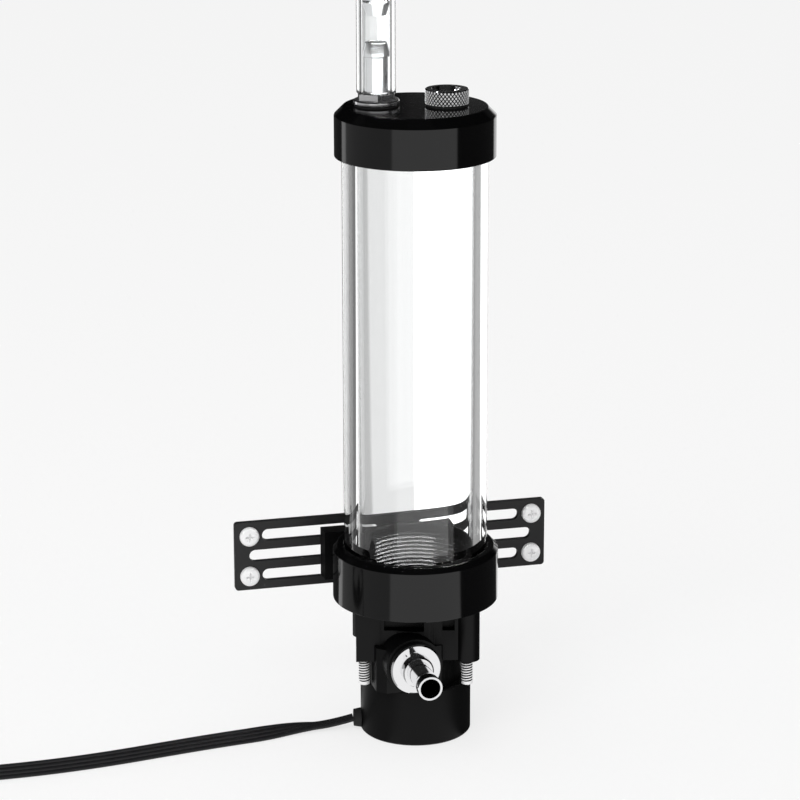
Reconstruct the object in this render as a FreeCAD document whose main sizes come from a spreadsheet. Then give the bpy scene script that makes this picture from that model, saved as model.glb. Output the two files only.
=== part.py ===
import FreeCAD, Part
import math
import os
import Sketcher
from FreeCAD import Placement, Rotation, Vector

# Coolant pump with a tube reservoir, held by a slotted bracket.
# Millimetres. Z is up and starts at the underside of the pump motor, the axis of the tube
# is the Z axis, the pump outlet faces -Y and the bracket stands behind, at +Y.

doc = FreeCAD.newDocument("PumpReservoir")
sheet = doc.addObject("Spreadsheet::Sheet", "Sizes")

DRIVING_SIZES = [
    # Clearances and edges that many pieces share
    ("fit_gap", 0.15),
    ("touch_gap", 0.05),
    ("edge_break", 0.5),
    # The motor housing at the foot
    ("motor_radius", 19.5),
    ("motor_height", 20.2),
    ("motor_wall", 1.5),
    ("base_cover_thick", 1.0),
    ("cover_ledge", 1.0),
    ("board_thick", 1.6),
    ("board_level", 3.0),
    ("stator_level", 6.4),
    ("stator_headroom", 3.8),
    ("stator_ring", 2.6),
    ("tooth_width", 3.2),
    ("tooth_count", 6),
    ("coil_wire", 1.7),
    ("can_bore", 8.0),
    ("can_wall", 0.8),
    ("can_flange", 15.0),
    ("can_flange_thick", 1.0),
    ("gasket_thick", 0.5),
    # The rotor and the impeller
    ("running_gap", 0.5),
    ("shaft_radius", 1.5),
    ("bush_wall", 1.1),
    ("hub_radius", 4.6),
    ("hub_wall", 0.7),
    ("impeller_radius", 11.8),
    ("impeller_disc", 1.6),
    ("blade_height", 5.4),
    ("blade_thick", 1.1),
    ("blade_bend", 9.0),
    ("blade_angle", 35.0),
    ("blade_count", 6),
    # The pump head
    ("head_height", 29.3),
    ("head_wall", 1.25),
    ("volute_clear", 1.4),
    ("volute_headroom", 1.0),
    ("volute_slope", 1.5),
    ("eye_radius", 5.0),
    ("ear_radius", 4.4),
    ("ear_drop", 19.5),
    ("ear_inner", 12.4),
    ("ear_outer", 20.8),
    ("ear_back", 8.5),
    ("ear_front", 15.5),
    ("stud_clear", 0.13),
    ("stud_angle", 33.69),
    ("head_turn", -14.4),
    ("outlet_offset", -6.2),
    ("outlet_rise", 11.05),
    ("outlet_boss_radius", 10.0),
    ("outlet_boss_reach", 22.5),
    ("outlet_bore", 4.0),
    ("outlet_bore_start", 2.0),
    ("rib_width", 3.0),
    ("recess_floor", 11.5),
    ("recess_drop", 8.0),
    ("recess_left", 11.0),
    ("recess_right", 2.9),
    ("side_recess", 9.3),
    ("outlet_block_left", 17.9),
    ("outlet_block_right", 7.8),
    ("outlet_block_back", 6.0),
    ("outlet_block_reach", 17.5),
    ("outlet_block_rise", 4.95),
    ("outlet_block_corner", 3.0),
    ("head_seal_radius", 8.75),
    # The four studs that hold the head
    ("stud_radius", 2.0),
    ("stud_tail", 9.4),
    ("stud_depth", 4.0),
    # Caps and tube
    ("tube_radius", 25.0),
    ("tube_wall", 5.0),
    ("tube_length", 155.0),
    ("tube_seat", 8.4),
    ("spigot_wall", 2.0),
    ("spigot_reach", 6.5),
    ("seal_section", 0.75),
    ("seal_clear", 0.03),
    ("bottom_cap_wall", 4.0),
    ("bottom_cap_height", 19.2),
    ("bottom_cap_floor", 4.6),
    ("bottom_cap_bevel", 1.7),
    ("top_cap_wall", 2.5),
    ("top_cap_height", 17.0),
    ("top_cap_bevel", 3.0),
    # Ports, fittings and hose
    ("port_radius", 6.58),
    ("port_depth", 6.5),
    ("hose_port_inset", 6.75),
    ("fill_port_inset", 9.25),
    ("thread_length", 5.0),
    ("washer_thick", 0.6),
    ("washer_clear", 0.1),
    ("rim_step", 0.3),
    ("fitting_flange", 7.8),
    ("fitting_flange_thick", 1.6),
    ("hex_across", 12.0),
    ("hex_height", 2.4),
    ("barb_root", 4.0),
    ("barb_crest", 4.6),
    ("barb_length", 17.0),
    ("barb_bore", 3.0),
    ("hose_radius", 6.7),
    ("hose_bore", 4.7),
    ("hose_length", 38.0),
    ("coupler_collar", 2.6),
    ("coupler_foot", 11.9),
    ("coupler_barb", 14.45),
    ("plug_radius", 7.4),
    ("plug_height", 5.2),
    ("plug_edge", 0.4),
    ("plug_recess", 5.2),
    ("plug_recess_depth", 1.2),
    ("outlet_flange", 9.0),
    ("outlet_flange_thick", 2.2),
    ("outlet_step_radius", 5.5),
    ("outlet_step", 3.0),
    ("nozzle_length", 15.5),
    ("nozzle_root", 4.05),
    ("nozzle_lip", 4.25),
    ("lip_length", 3.4),
    ("lip_ramp", 1.6),
    ("flare_depth", 2.5),
    # Bracket, block and its screws
    ("plate_length", 115.5),
    ("plate_height", 25.5),
    ("plate_thick", 2.0),
    ("plate_rise", 7.3),
    ("plate_corner", 1.2),
    ("slot_height", 4.3),
    ("slot_start", 10.0),
    ("slot_margin", 12.15),
    ("long_slot_margin", 7.45),
    ("slot_rise", 7.5),
    ("screw_margin", 5.25),
    ("screw_rise", 7.5),
    ("screw_radius", 1.75),
    ("screw_waist", 1.2),
    ("screw_hole", 2.1),
    ("screw_head", 3.5),
    ("screw_head_thick", 1.9),
    ("screw_length", 8.0),
    ("block_width", 52.8),
    ("block_height", 17.7),
    ("block_web", 5.0),
    ("block_grip", 2.0),
    ("clamp_side", 20.0),
    ("clamp_radius", 2.0),
    ("clamp_head", 3.6),
    ("clamp_head_thick", 2.4),
    ("clamp_length", 8.0),
    ("clamp_washer", 4.4),
    ("clamp_washer_thick", 0.8),
    ("tie_side", 8.0),
    ("tie_radius", 1.5),
    ("tie_head", 2.8),
    ("tie_head_thick", 2.0),
    ("tie_length", 8.4),
    # Cable
    ("cable_width", 5.2),
    ("cable_exit_angle", 171.0),
    ("cable_exit_level", 3.8),
    ("grommet_lip", 3.5),
    ("grommet_reach", 2.6),
    ("coil_middle", 30.0),
    ("coil_lift", 1.0),
    ("strap_width", 3.0),
    ("strap_thick", 0.8),
    ("strap_lock", 4.2),
    ("connector_width", 11.0),
    ("connector_length", 12.0),
    ("connector_thick", 5.8),
    ("contact_pitch", 2.54),
    ("contact_size", 1.5),
    ("socket_size", 1.8),
    ("socket_depth", 8.0),
    ("connector_rib", 1.2),
    ("connector_rib_length", 8.4),
]


class Size:
    """A number with the sheet expression that it comes from."""

    def __init__(self, value, text):
        self.value = float(value)
        self.text = text

    def __add__(self, other):
        other = as_size(other)
        return Size(self.value + other.value, f"({self.text} + {other.text})")

    def __radd__(self, other):
        return as_size(other) + self

    def __sub__(self, other):
        other = as_size(other)
        return Size(self.value - other.value, f"({self.text} - {other.text})")

    def __rsub__(self, other):
        return as_size(other) - self

    def __mul__(self, other):
        other = as_size(other)
        return Size(self.value * other.value, f"({self.text} * {other.text})")

    def __rmul__(self, other):
        return as_size(other) * self

    def __truediv__(self, other):
        other = as_size(other)
        return Size(self.value / other.value, f"({self.text} / {other.text})")

    def __neg__(self):
        return Size(-self.value, f"(0 - {self.text})")


def as_size(number):
    if isinstance(number, Size):
        return number
    return Size(number, repr(float(number)))


class Sizes:
    """The driving sizes, each as an attribute named after its sheet alias."""


def fill_sheet():
    sizes = Sizes()
    for row, (alias, value) in enumerate(DRIVING_SIZES, start=1):
        sheet.set(f"A{row}", alias)
        sheet.set(f"B{row}", str(value))
        sheet.setAlias(f"B{row}", alias)
        setattr(sizes, alias, Size(value, f"Sizes.{alias}"))
    doc.recompute()
    return sizes


S = fill_sheet()
SUB_PARTS = []


# Levels and places that several sub-parts share
STATOR_HEIGHT = S.motor_height - S.stator_level - S.stator_headroom
HEAD_RADIUS = S.can_flange + S.fit_gap + S.head_wall
OUTLET_LEVEL = S.motor_height + S.outlet_rise
CAP_UNDERSIDE = S.motor_height + S.head_height
BOTTOM_CAP_RADIUS = S.tube_radius + S.bottom_cap_wall
TOP_CAP_RADIUS = S.tube_radius + S.top_cap_wall
BOTTOM_CAP_TOP = CAP_UNDERSIDE + S.bottom_cap_height
TUBE_FOOT = BOTTOM_CAP_TOP - S.tube_seat
TUBE_TOP = TUBE_FOOT + S.tube_length
TOP_CAP_UNDERSIDE = TUBE_TOP - S.tube_seat
TOP_CAP_TOP = TOP_CAP_UNDERSIDE + S.top_cap_height
TUBE_BORE = S.tube_radius - S.tube_wall
SPIGOT_RADIUS = TUBE_BORE - S.fit_gap
SPIGOT_BORE = SPIGOT_RADIUS - S.spigot_wall
CAN_OUTSIDE = S.can_bore + S.can_wall
VOLUTE_FLOOR = S.motor_height + S.can_flange_thick + S.gasket_thick
IMPELLER_FLOOR = VOLUTE_FLOOR + S.running_gap
BLADE_FLOOR = IMPELLER_FLOOR + S.impeller_disc
VOLUTE_CEILING = BLADE_FLOOR + S.blade_height + S.running_gap + S.volute_headroom
VOLUTE_RADIUS = S.impeller_radius + S.volute_clear
FITTING_SEAT = TOP_CAP_TOP + S.washer_thick
HOSE_FOOT = FITTING_SEAT + S.fitting_flange_thick + S.hex_height
PLATE_FACE = BOTTOM_CAP_RADIUS + S.block_web
PLATE_BACK = PLATE_FACE + S.plate_thick
PLATE_LEVEL = CAP_UNDERSIDE + S.plate_rise
BLOCK_DEPTH = S.block_web + S.block_grip
OUTLET_SEAT = S.outlet_boss_reach + S.washer_thick

# How far a cut runs past the face where it breaks out
CUT_OVER = 1


def keep(obj, name):
    """Label an object, and list it as a sub-part to be written out."""
    obj.Label = name
    SUB_PARTS.append(obj)
    return obj


def new_body(name):
    body = doc.addObject("PartDesign::Body", name)
    body.Label = name
    return body


def place(obj, x=0, y=0, z=0, tilt=0, turn=None):
    """Put an object at a place bound to the sheet, tilted about X or turned about Z."""
    spot = [as_size(v) for v in (x, y, z)]
    rotation = Rotation(Vector(1, 0, 0), tilt)
    if turn is not None:
        rotation = Rotation(Vector(0, 0, 1), turn.value)
    obj.Placement = Placement(Vector(*[v.value for v in spot]), rotation)
    for axis, value in zip("xyz", spot):
        obj.setExpression(f"Placement.Base.{axis}", value.text)
    if turn is not None:
        obj.setExpression("Placement.Rotation.Angle", f"{turn.text} * 1deg")
    return obj


def new_sketch(body, role, lift=0):
    """A sketch on one of the body's own origin planes, lifted along its normal."""
    sketch = body.newObject("Sketcher::SketchObject", f"{body.Name}_sketch")
    plane = [f for f in body.Origin.OriginFeatures if f.Role == role][0]
    sketch.AttachmentSupport = (plane, [""])
    sketch.MapMode = "FlatFace"
    lift = as_size(lift)
    sketch.AttachmentOffset = Placement(Vector(0, 0, lift.value), Rotation())
    sketch.setExpression("AttachmentOffset.Base.z", lift.text)
    return sketch


def bind(sketch, kind, size, *where):
    """Add a dimension to a sketch and bind it to the sheet."""
    size = as_size(size)
    index = sketch.addConstraint(Sketcher.Constraint(kind, *where, size.value))
    sketch.setExpression(f"Constraints[{index}]", size.text)


def outline(sketch, corners):
    """A closed outline of straight edges, each corner held by its two coordinates."""
    corners = [(as_size(x), as_size(y)) for x, y in corners]
    points = [Vector(x.value, y.value, 0) for x, y in corners]
    count = len(points)
    first = sketch.GeometryCount
    for i in range(count):
        sketch.addGeometry(Part.LineSegment(points[i], points[(i + 1) % count]), False)
    for i in range(count):
        here, after = first + i, first + (i + 1) % count
        sketch.addConstraint(Sketcher.Constraint("Coincident", here, 2, after, 1))
    for i, (x, y) in enumerate(corners):
        bind(sketch, "DistanceX", x, -1, 1, first + i, 1)
        bind(sketch, "DistanceY", y, -1, 1, first + i, 1)


def circle(sketch, x, y, radius):
    x, y, radius = as_size(x), as_size(y), as_size(radius)
    middle = Vector(x.value, y.value, 0)
    index = sketch.addGeometry(Part.Circle(middle, Vector(0, 0, 1), radius.value), False)
    bind(sketch, "DistanceX", x, -1, 1, index, 3)
    bind(sketch, "DistanceY", y, -1, 1, index, 3)
    bind(sketch, "Radius", radius, index)


def rectangle(sketch, x0, y0, x1, y1):
    outline(sketch, [(x0, y0), (x1, y0), (x1, y1), (x0, y1)])


def slot(sketch, x0, x1, y, radius):
    """A slot along the sketch's X, round at both ends."""
    x0, x1, y, radius = as_size(x0), as_size(x1), as_size(y), as_size(radius)
    left, right = Vector(x0.value, y.value, 0), Vector(x1.value, y.value, 0)
    up, half, r = Vector(0, radius.value, 0), math.pi / 2, radius.value
    normal = Vector(0, 0, 1)
    head = sketch.addGeometry(Part.ArcOfCircle(Part.Circle(right, normal, r), -half, half), False)
    top = sketch.addGeometry(Part.LineSegment(right + up, left + up), False)
    tail = sketch.addGeometry(Part.ArcOfCircle(Part.Circle(left, normal, r), half, 3 * half), False)
    foot = sketch.addGeometry(Part.LineSegment(left - up, right - up), False)
    for a, a_end, b, b_end in ((head, 2, top, 1), (top, 2, tail, 1), (tail, 2, foot, 1), (foot, 2, head, 1)):
        sketch.addConstraint(Sketcher.Constraint("Tangent", a, a_end, b, b_end))
    bind(sketch, "DistanceX", x1, -1, 1, head, 3)
    bind(sketch, "DistanceY", y, -1, 1, head, 3)
    bind(sketch, "DistanceX", x0, -1, 1, tail, 3)
    bind(sketch, "Radius", radius, head)


def pad(body, sketch, length, down=False):
    feature = body.newObject("PartDesign::Pad", f"{body.Name}_pad")
    feature.Profile = sketch
    feature.Reversed = down
    length = as_size(length)
    feature.Length = length.value
    feature.setExpression("Length", length.text)
    doc.recompute()
    return feature


def pocket(body, sketch, length=None, up=False):
    """Cut a sketch into the body, to a depth or right through both ways."""
    before = body.Shape.Volume
    feature = body.newObject("PartDesign::Pocket", f"{body.Name}_pocket")
    feature.Profile = sketch
    feature.Reversed = up
    if length is None:
        feature.Type = "ThroughAll"
        feature.Midplane = True
    else:
        length = as_size(length)
        feature.Length = length.value
        feature.setExpression("Length", length.text)
    doc.recompute()
    if body.Shape.Volume > before - 1e-3:
        raise RuntimeError(f"{body.Name}: a pocket cuts nothing")
    return feature


def turned(body, corners):
    """Turn an outline of (radius, height) corners about the body's own Z axis."""
    sketch = new_sketch(body, "XZ_Plane")
    outline(sketch, corners)
    feature = body.newObject("PartDesign::Revolution", f"{body.Name}_turned")
    feature.Profile = sketch
    feature.ReferenceAxis = (sketch, ["V_Axis"])
    feature.Angle = 360
    doc.recompute()
    return feature


def around_axis(body, feature, count):
    """Repeat a feature of a body round its Z axis."""
    pattern = body.newObject("PartDesign::PolarPattern", f"{body.Name}_pattern")
    pattern.Originals = [feature]
    axis = [f for f in body.Origin.OriginFeatures if f.Role == "Z_Axis"][0]
    pattern.Axis = (axis, [""])
    pattern.Angle = 360
    count = as_size(count)
    pattern.Occurrences = int(count.value)
    pattern.setExpression("Occurrences", count.text)
    body.Tip = pattern
    doc.recompute()
    return pattern


def group(name, members):
    """Like pieces that share one sub-part, each a solid of its own."""
    compound = doc.addObject("Part::Compound", name)
    compound.Links = members
    return keep(compound, name)


def turned_part(name, corners, **where):
    body = new_body(name)
    turned(body, corners)
    place(body, **where)
    return keep(body, name)


def seal_ring(name, ring_radius, section_radius, z):
    """An O-ring round the Z axis."""
    ring = doc.addObject("Part::Torus", name)
    ring.setExpression("Radius1", as_size(ring_radius).text)
    ring.setExpression("Radius2", as_size(section_radius).text)
    place(ring, z=z)
    return keep(ring, name)


def cosine_and_sine(angle):
    """Cosine and sine of an angle in degrees, each with its sheet expression."""
    radians = math.radians(angle.value)
    cosine = Size(math.cos(radians), f"cos({angle.text} * 1deg)")
    return cosine, Size(math.sin(radians), f"sin({angle.text} * 1deg)")


def turned_xy(u, v=0):
    """Place of a point of the turned pump, u across the front and v towards it."""
    cosine, sine = cosine_and_sine(S.head_turn)
    u, v = as_size(u), as_size(v)
    return u * cosine + v * sine, u * sine - v * cosine


def make_motor():
    inside = S.motor_radius - S.motor_wall
    ledge = inside + S.cover_ledge / 2
    ceiling = S.motor_height - S.motor_wall
    can_hole = CAN_OUTSIDE + S.fit_gap
    housing = new_body("motor_housing")
    turned(housing, [
        (ledge, 0), (S.motor_radius - S.edge_break, 0), (S.motor_radius, S.edge_break),
        (S.motor_radius, S.motor_height - S.edge_break),
        (S.motor_radius - S.edge_break, S.motor_height),
        (can_hole, S.motor_height), (can_hole, ceiling), (inside, ceiling),
        (inside, S.base_cover_thick), (ledge, S.base_cover_thick),
    ])
    exit_hole = new_sketch(housing, "YZ_Plane", lift=inside - CUT_OVER)
    circle(exit_hole, 0, S.cable_exit_level, S.cable_width / 2 + S.fit_gap)
    pocket(housing, exit_hole, S.motor_wall + 2 * CUT_OVER, up=True)
    keep(place(housing, turn=S.cable_exit_angle), "motor_housing")
    turned_part("motor_base_cover", [
        (0, 0), (ledge - S.fit_gap, 0), (ledge - S.fit_gap, S.base_cover_thick),
        (0, S.base_cover_thick),
    ])
    turned_part("control_board", [
        (0, S.board_level), (inside - S.fit_gap, S.board_level),
        (inside - S.fit_gap, S.board_level + S.board_thick), (0, S.board_level + S.board_thick),
    ])


def make_stator():
    outside = S.motor_radius - S.motor_wall - S.fit_gap
    ring_bore = outside - S.stator_ring
    tooth_tip = CAN_OUTSIDE + S.fit_gap
    core = new_body("stator_core")
    ring = new_sketch(core, "XY_Plane", lift=S.stator_level)
    circle(ring, 0, 0, outside)
    circle(ring, 0, 0, ring_bore)
    pad(core, ring, STATOR_HEIGHT)
    tooth = new_sketch(core, "XY_Plane", lift=S.stator_level)
    rectangle(tooth, tooth_tip, -S.tooth_width / 2, ring_bore + S.stator_ring / 2, S.tooth_width / 2)
    around_axis(core, pad(core, tooth, STATOR_HEIGHT), S.tooth_count)
    keep(core, "stator_core")

    coils = new_body("stator_coils")
    side = S.tooth_width / 2 + S.touch_gap
    foot = S.stator_level - S.touch_gap
    top = S.stator_level + STATOR_HEIGHT + S.touch_gap
    section = new_sketch(coils, "YZ_Plane", lift=tooth_tip + S.edge_break)
    rectangle(section, -side - S.coil_wire, foot - S.coil_wire,
              side + S.coil_wire, top + S.coil_wire)
    rectangle(section, -side, foot, side, top)
    winding = pad(coils, section, ring_bore - tooth_tip - 2 * S.edge_break)
    around_axis(coils, winding, S.tooth_count)
    keep(coils, "stator_coils")


def make_can():
    floor = S.board_level + S.board_thick + S.fit_gap
    turned_part("rotor_can", [
        (0, floor), (CAN_OUTSIDE, floor), (CAN_OUTSIDE, S.motor_height),
        (S.can_flange, S.motor_height), (S.can_flange, S.motor_height + S.can_flange_thick),
        (S.can_bore, S.motor_height + S.can_flange_thick), (S.can_bore, floor + S.can_wall),
        (0, floor + S.can_wall),
    ])
    turned_part("can_gasket", [
        (VOLUTE_RADIUS, S.motor_height + S.can_flange_thick),
        (S.can_flange, S.motor_height + S.can_flange_thick),
        (S.can_flange, VOLUTE_FLOOR), (VOLUTE_RADIUS, VOLUTE_FLOOR),
    ])
    return floor + S.can_wall


def make_rotor(can_floor):
    bush_bore = S.shaft_radius + S.touch_gap
    bush_radius = bush_bore + S.bush_wall
    press_radius = bush_radius + S.touch_gap
    rotor_foot = can_floor + S.running_gap
    magnet_top = rotor_foot + STATOR_HEIGHT
    magnet_radius = S.can_bore - S.running_gap
    blade_top = BLADE_FLOOR + S.blade_height
    hub_top = blade_top - S.impeller_disc / 2
    turned_part("pump_shaft", [
        (0, can_floor), (S.shaft_radius, can_floor), (S.shaft_radius, blade_top),
        (S.shaft_radius - S.edge_break, blade_top + S.edge_break), (0, blade_top + S.edge_break),
    ])
    turned_part("rotor_bush", [
        (bush_bore, rotor_foot), (bush_radius, rotor_foot), (bush_radius, hub_top),
        (bush_bore, hub_top),
    ])
    turned_part("rotor_magnet", [
        (press_radius, rotor_foot), (magnet_radius, rotor_foot),
        (magnet_radius, magnet_top), (press_radius, magnet_top),
    ])
    impeller = new_body("impeller")
    turned(impeller, [
        (press_radius, magnet_top), (S.hub_radius, magnet_top),
        (S.hub_radius, IMPELLER_FLOOR), (S.impeller_radius, IMPELLER_FLOOR),
        (S.impeller_radius, BLADE_FLOOR), (S.hub_radius, BLADE_FLOOR),
        (press_radius + S.hub_wall, hub_top), (press_radius, hub_top),
    ])
    blade = new_sketch(impeller, "XY_Plane", lift=BLADE_FLOOR)
    blade_outline(blade, press_radius + S.hub_wall)
    around_axis(impeller, pad(impeller, blade, S.blade_height), S.blade_count)
    keep(impeller, "impeller")


def blade_outline(sketch, root):
    """One backward-curved blade: two arcs about one centre, from the hub out to the rim."""
    rim = S.impeller_radius - S.touch_gap
    slant = Size(math.cos(math.radians(S.blade_angle.value)), f"cos({S.blade_angle.text} * 1deg)")
    square = rim * rim + S.blade_bend * S.blade_bend - 2 * rim * S.blade_bend * slant
    offset = Size(math.sqrt(square.value), f"sqrt({square.text})")
    radii = [S.blade_bend + S.blade_thick / 2, S.blade_bend - S.blade_thick / 2]

    def spot(bend, reach):
        """Point of an arc that lies at a distance from the axis, and its angle on the arc."""
        b, r, c = bend.value, reach.value, offset.value
        angle = math.acos((r * r - c * c - b * b) / (2 * c * b))
        return Vector(c + b * math.cos(angle), b * math.sin(angle), 0), angle

    middle = Vector(offset.value, 0, 0)
    arcs = []
    for bend in radii:
        near_rim, near_root = spot(bend, rim)[1], spot(bend, root)[1]
        whole = Part.Circle(middle, Vector(0, 0, 1), bend.value)
        arcs.append(sketch.addGeometry(Part.ArcOfCircle(whole, near_rim, near_root), False))
    outer, inner = arcs
    tip = sketch.addGeometry(Part.LineSegment(spot(radii[1], rim)[0], spot(radii[0], rim)[0]), False)
    heel = sketch.addGeometry(Part.LineSegment(spot(radii[0], root)[0], spot(radii[1], root)[0]), False)
    for a, a_end, b, b_end in ((tip, 2, outer, 1), (outer, 2, heel, 1), (heel, 2, inner, 2), (inner, 1, tip, 1)):
        sketch.addConstraint(Sketcher.Constraint("Coincident", a, a_end, b, b_end))
    sketch.addConstraint(Sketcher.Constraint("Coincident", outer, 3, inner, 3))
    bind(sketch, "DistanceX", offset, -1, 1, outer, 3)
    bind(sketch, "DistanceY", 0, -1, 1, outer, 3)
    for arc, bend in zip(arcs, radii):
        bind(sketch, "Radius", bend, arc)
        bind(sketch, "Distance", rim, -1, 1, arc, 1)
        bind(sketch, "Distance", root, -1, 1, arc, 2)


def stud_offsets():
    """How far the studs stand to the side and to the front of the axis, clear of the motor."""
    ring = S.motor_radius + S.stud_radius + S.stud_clear
    cosine, sine = cosine_and_sine(S.stud_angle)
    return ring * cosine, ring * sine


def ear_places():
    across, forward = stud_offsets()
    return [turned_xy(side * across, front * forward) for side in (-1, 1) for front in (-1, 1)]


def make_head():
    """Pump head: volute, four ears for the studs and the long outlet boss."""
    head = new_body("pump_head")
    ear_foot = CAP_UNDERSIDE - S.ear_drop
    core = new_sketch(head, "XY_Plane", lift=S.motor_height)
    circle(core, 0, 0, HEAD_RADIUS)
    pad(head, core, S.head_height)
    round_ears = new_sketch(head, "XY_Plane", lift=ear_foot)
    for x, y in (ear_places()[0], ear_places()[3]):
        circle(round_ears, x, y, S.ear_radius)
    pad(head, round_ears, S.ear_drop)
    square_ears = new_sketch(head, "XY_Plane", lift=ear_foot)
    for side in (-1, 1):
        near, far = -side * S.ear_back, -side * S.ear_front
        outline(square_ears, [turned_xy(side * S.ear_inner, near), turned_xy(side * S.ear_outer, near),
                              turned_xy(side * S.ear_outer, far), turned_xy(side * S.ear_inner, far)])
    pad(head, square_ears, S.ear_drop)
    webs = new_sketch(head, "XY_Plane", lift=ear_foot + S.edge_break)
    across, forward = stud_offsets()
    for front in (-1, 1):
        near, far = front * forward - S.rib_width, front * forward + S.rib_width
        outline(webs, [turned_xy(-across, near), turned_xy(across, near),
                       turned_xy(across, far), turned_xy(-across, far)])
    pad(head, webs, S.ear_drop - S.edge_break)
    left, right, corner = -S.outlet_block_left, S.outlet_block_right, S.outlet_block_corner
    block = new_sketch(head, "XY_Plane", lift=S.motor_height)
    outline(block, [
        (left, -S.outlet_block_back), (left, corner - S.outlet_block_reach),
        (left + corner, -S.outlet_block_reach), (right - corner, -S.outlet_block_reach),
        (right, corner - S.outlet_block_reach), (right, -S.outlet_block_back),
    ])
    pad(head, block, S.outlet_rise + S.outlet_block_rise)
    boss = new_sketch(head, "XZ_Plane")
    circle(boss, S.outlet_offset, OUTLET_LEVEL, S.outlet_boss_radius)
    pad(head, boss, S.outlet_boss_reach)

    recesses = new_sketch(head, "XY_Plane", lift=CAP_UNDERSIDE)
    for inner, outer in ((-S.recess_left, S.recess_right), (S.side_recess, across - S.ear_radius)):
        outline(recesses, [turned_xy(inner, S.recess_floor), turned_xy(outer, S.recess_floor),
                           turned_xy(outer, S.recess_floor + 2 * S.rib_width),
                           turned_xy(inner, S.recess_floor + 2 * S.rib_width)])
    pocket(head, recesses, S.recess_drop)

    cavity = new_sketch(head, "XZ_Plane")
    outline(cavity, [
        (0, S.motor_height - CUT_OVER), (S.can_flange + S.fit_gap, S.motor_height - CUT_OVER),
        (S.can_flange + S.fit_gap, VOLUTE_FLOOR), (VOLUTE_RADIUS, VOLUTE_FLOOR),
        (VOLUTE_RADIUS, VOLUTE_CEILING), (S.eye_radius, VOLUTE_CEILING + S.volute_slope),
        (S.eye_radius, CAP_UNDERSIDE + CUT_OVER), (0, CAP_UNDERSIDE + CUT_OVER),
    ])
    groove = head.newObject("PartDesign::Groove", "pump_head_cavity")
    groove.Profile = cavity
    groove.ReferenceAxis = (cavity, ["V_Axis"])
    groove.Angle = 360
    doc.recompute()

    seal_groove = new_sketch(head, "XY_Plane", lift=CAP_UNDERSIDE)
    half_groove = S.seal_section + 2 * S.touch_gap
    circle(seal_groove, 0, 0, S.head_seal_radius + half_groove)
    circle(seal_groove, 0, 0, S.head_seal_radius - half_groove)
    pocket(head, seal_groove, 2 * S.seal_section)
    bore = new_sketch(head, "XZ_Plane", lift=S.outlet_bore_start)
    circle(bore, S.outlet_offset, OUTLET_LEVEL, S.outlet_bore)
    pocket(head, bore, S.outlet_boss_reach, up=True)
    port = new_sketch(head, "XZ_Plane", lift=S.outlet_boss_reach)
    circle(port, S.outlet_offset, OUTLET_LEVEL, S.port_radius)
    pocket(head, port, S.port_depth)
    holes = new_sketch(head, "XY_Plane", lift=CAP_UNDERSIDE)
    for x, y in ear_places():
        circle(holes, x, y, S.stud_radius + S.fit_gap)
    pocket(head, holes, S.ear_drop + CUT_OVER)
    keep(head, "pump_head")
    seal_ring("head_seal", S.head_seal_radius, S.seal_section, CAP_UNDERSIDE - S.seal_section)

    studs = []
    foot = ear_foot - S.stud_tail
    for i, (x, y) in enumerate(ear_places(), start=1):
        stud = new_body(f"head_stud_{i}")
        turned(stud, [
            (0, 0), (S.stud_radius - S.edge_break, 0),
            (S.stud_radius, S.edge_break), (S.stud_radius, S.ear_drop + S.stud_tail + S.stud_depth),
            (0, S.ear_drop + S.stud_tail + S.stud_depth),
        ])
        studs.append(place(stud, x, y, foot))
    group("head_studs", studs)


def seal_seat(z):
    """Corners of the O-ring groove in a spigot, from low to high."""
    half = S.seal_section + 2 * S.touch_gap
    root = TUBE_BORE - 2 * S.seal_section - 2 * S.touch_gap
    return [(SPIGOT_RADIUS, z - half), (root, z - half), (root, z + half), (SPIGOT_RADIUS, z + half)]


def make_bottom_cap():
    edge = S.edge_break / 2
    wall_bore = S.tube_radius + S.fit_gap
    floor = CAP_UNDERSIDE + S.bottom_cap_floor
    seal_level = TUBE_FOOT + S.spigot_reach / 2
    cap = new_body("bottom_cap")
    turned(cap, [
        (S.eye_radius, CAP_UNDERSIDE), (BOTTOM_CAP_RADIUS - edge, CAP_UNDERSIDE),
        (BOTTOM_CAP_RADIUS, CAP_UNDERSIDE + edge),
        (BOTTOM_CAP_RADIUS, BOTTOM_CAP_TOP - S.bottom_cap_bevel),
        (BOTTOM_CAP_RADIUS - S.bottom_cap_bevel, BOTTOM_CAP_TOP), (wall_bore, BOTTOM_CAP_TOP),
        (wall_bore, TUBE_FOOT), (SPIGOT_RADIUS, TUBE_FOOT),
        *seal_seat(seal_level),
        (SPIGOT_RADIUS, TUBE_FOOT + S.spigot_reach), (SPIGOT_BORE, TUBE_FOOT + S.spigot_reach),
        (SPIGOT_BORE, floor), (S.eye_radius, floor),
    ])
    holes = new_sketch(cap, "XY_Plane", lift=CAP_UNDERSIDE)
    for x, y in ear_places():
        circle(holes, x, y, S.stud_radius + S.fit_gap)
    pocket(cap, holes, S.stud_depth + 2 * S.touch_gap, up=True)
    sockets = new_sketch(cap, "XZ_Plane", lift=-(PLATE_FACE - S.tie_head_thick - S.tie_length))
    for side in (-1, 1):
        circle(sockets, side * S.tie_side, PLATE_LEVEL, S.tie_radius + S.fit_gap)
    pocket(cap, sockets, S.tie_length)
    keep(cap, "bottom_cap")
    seal_ring("bottom_tube_seal", TUBE_BORE - S.seal_clear - S.seal_section, S.seal_section, seal_level)


def port_places():
    """Middles of the hose port and the fill port in the top cap."""
    return turned_xy(S.hose_port_inset - SPIGOT_RADIUS), turned_xy(SPIGOT_RADIUS - S.fill_port_inset)


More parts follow.
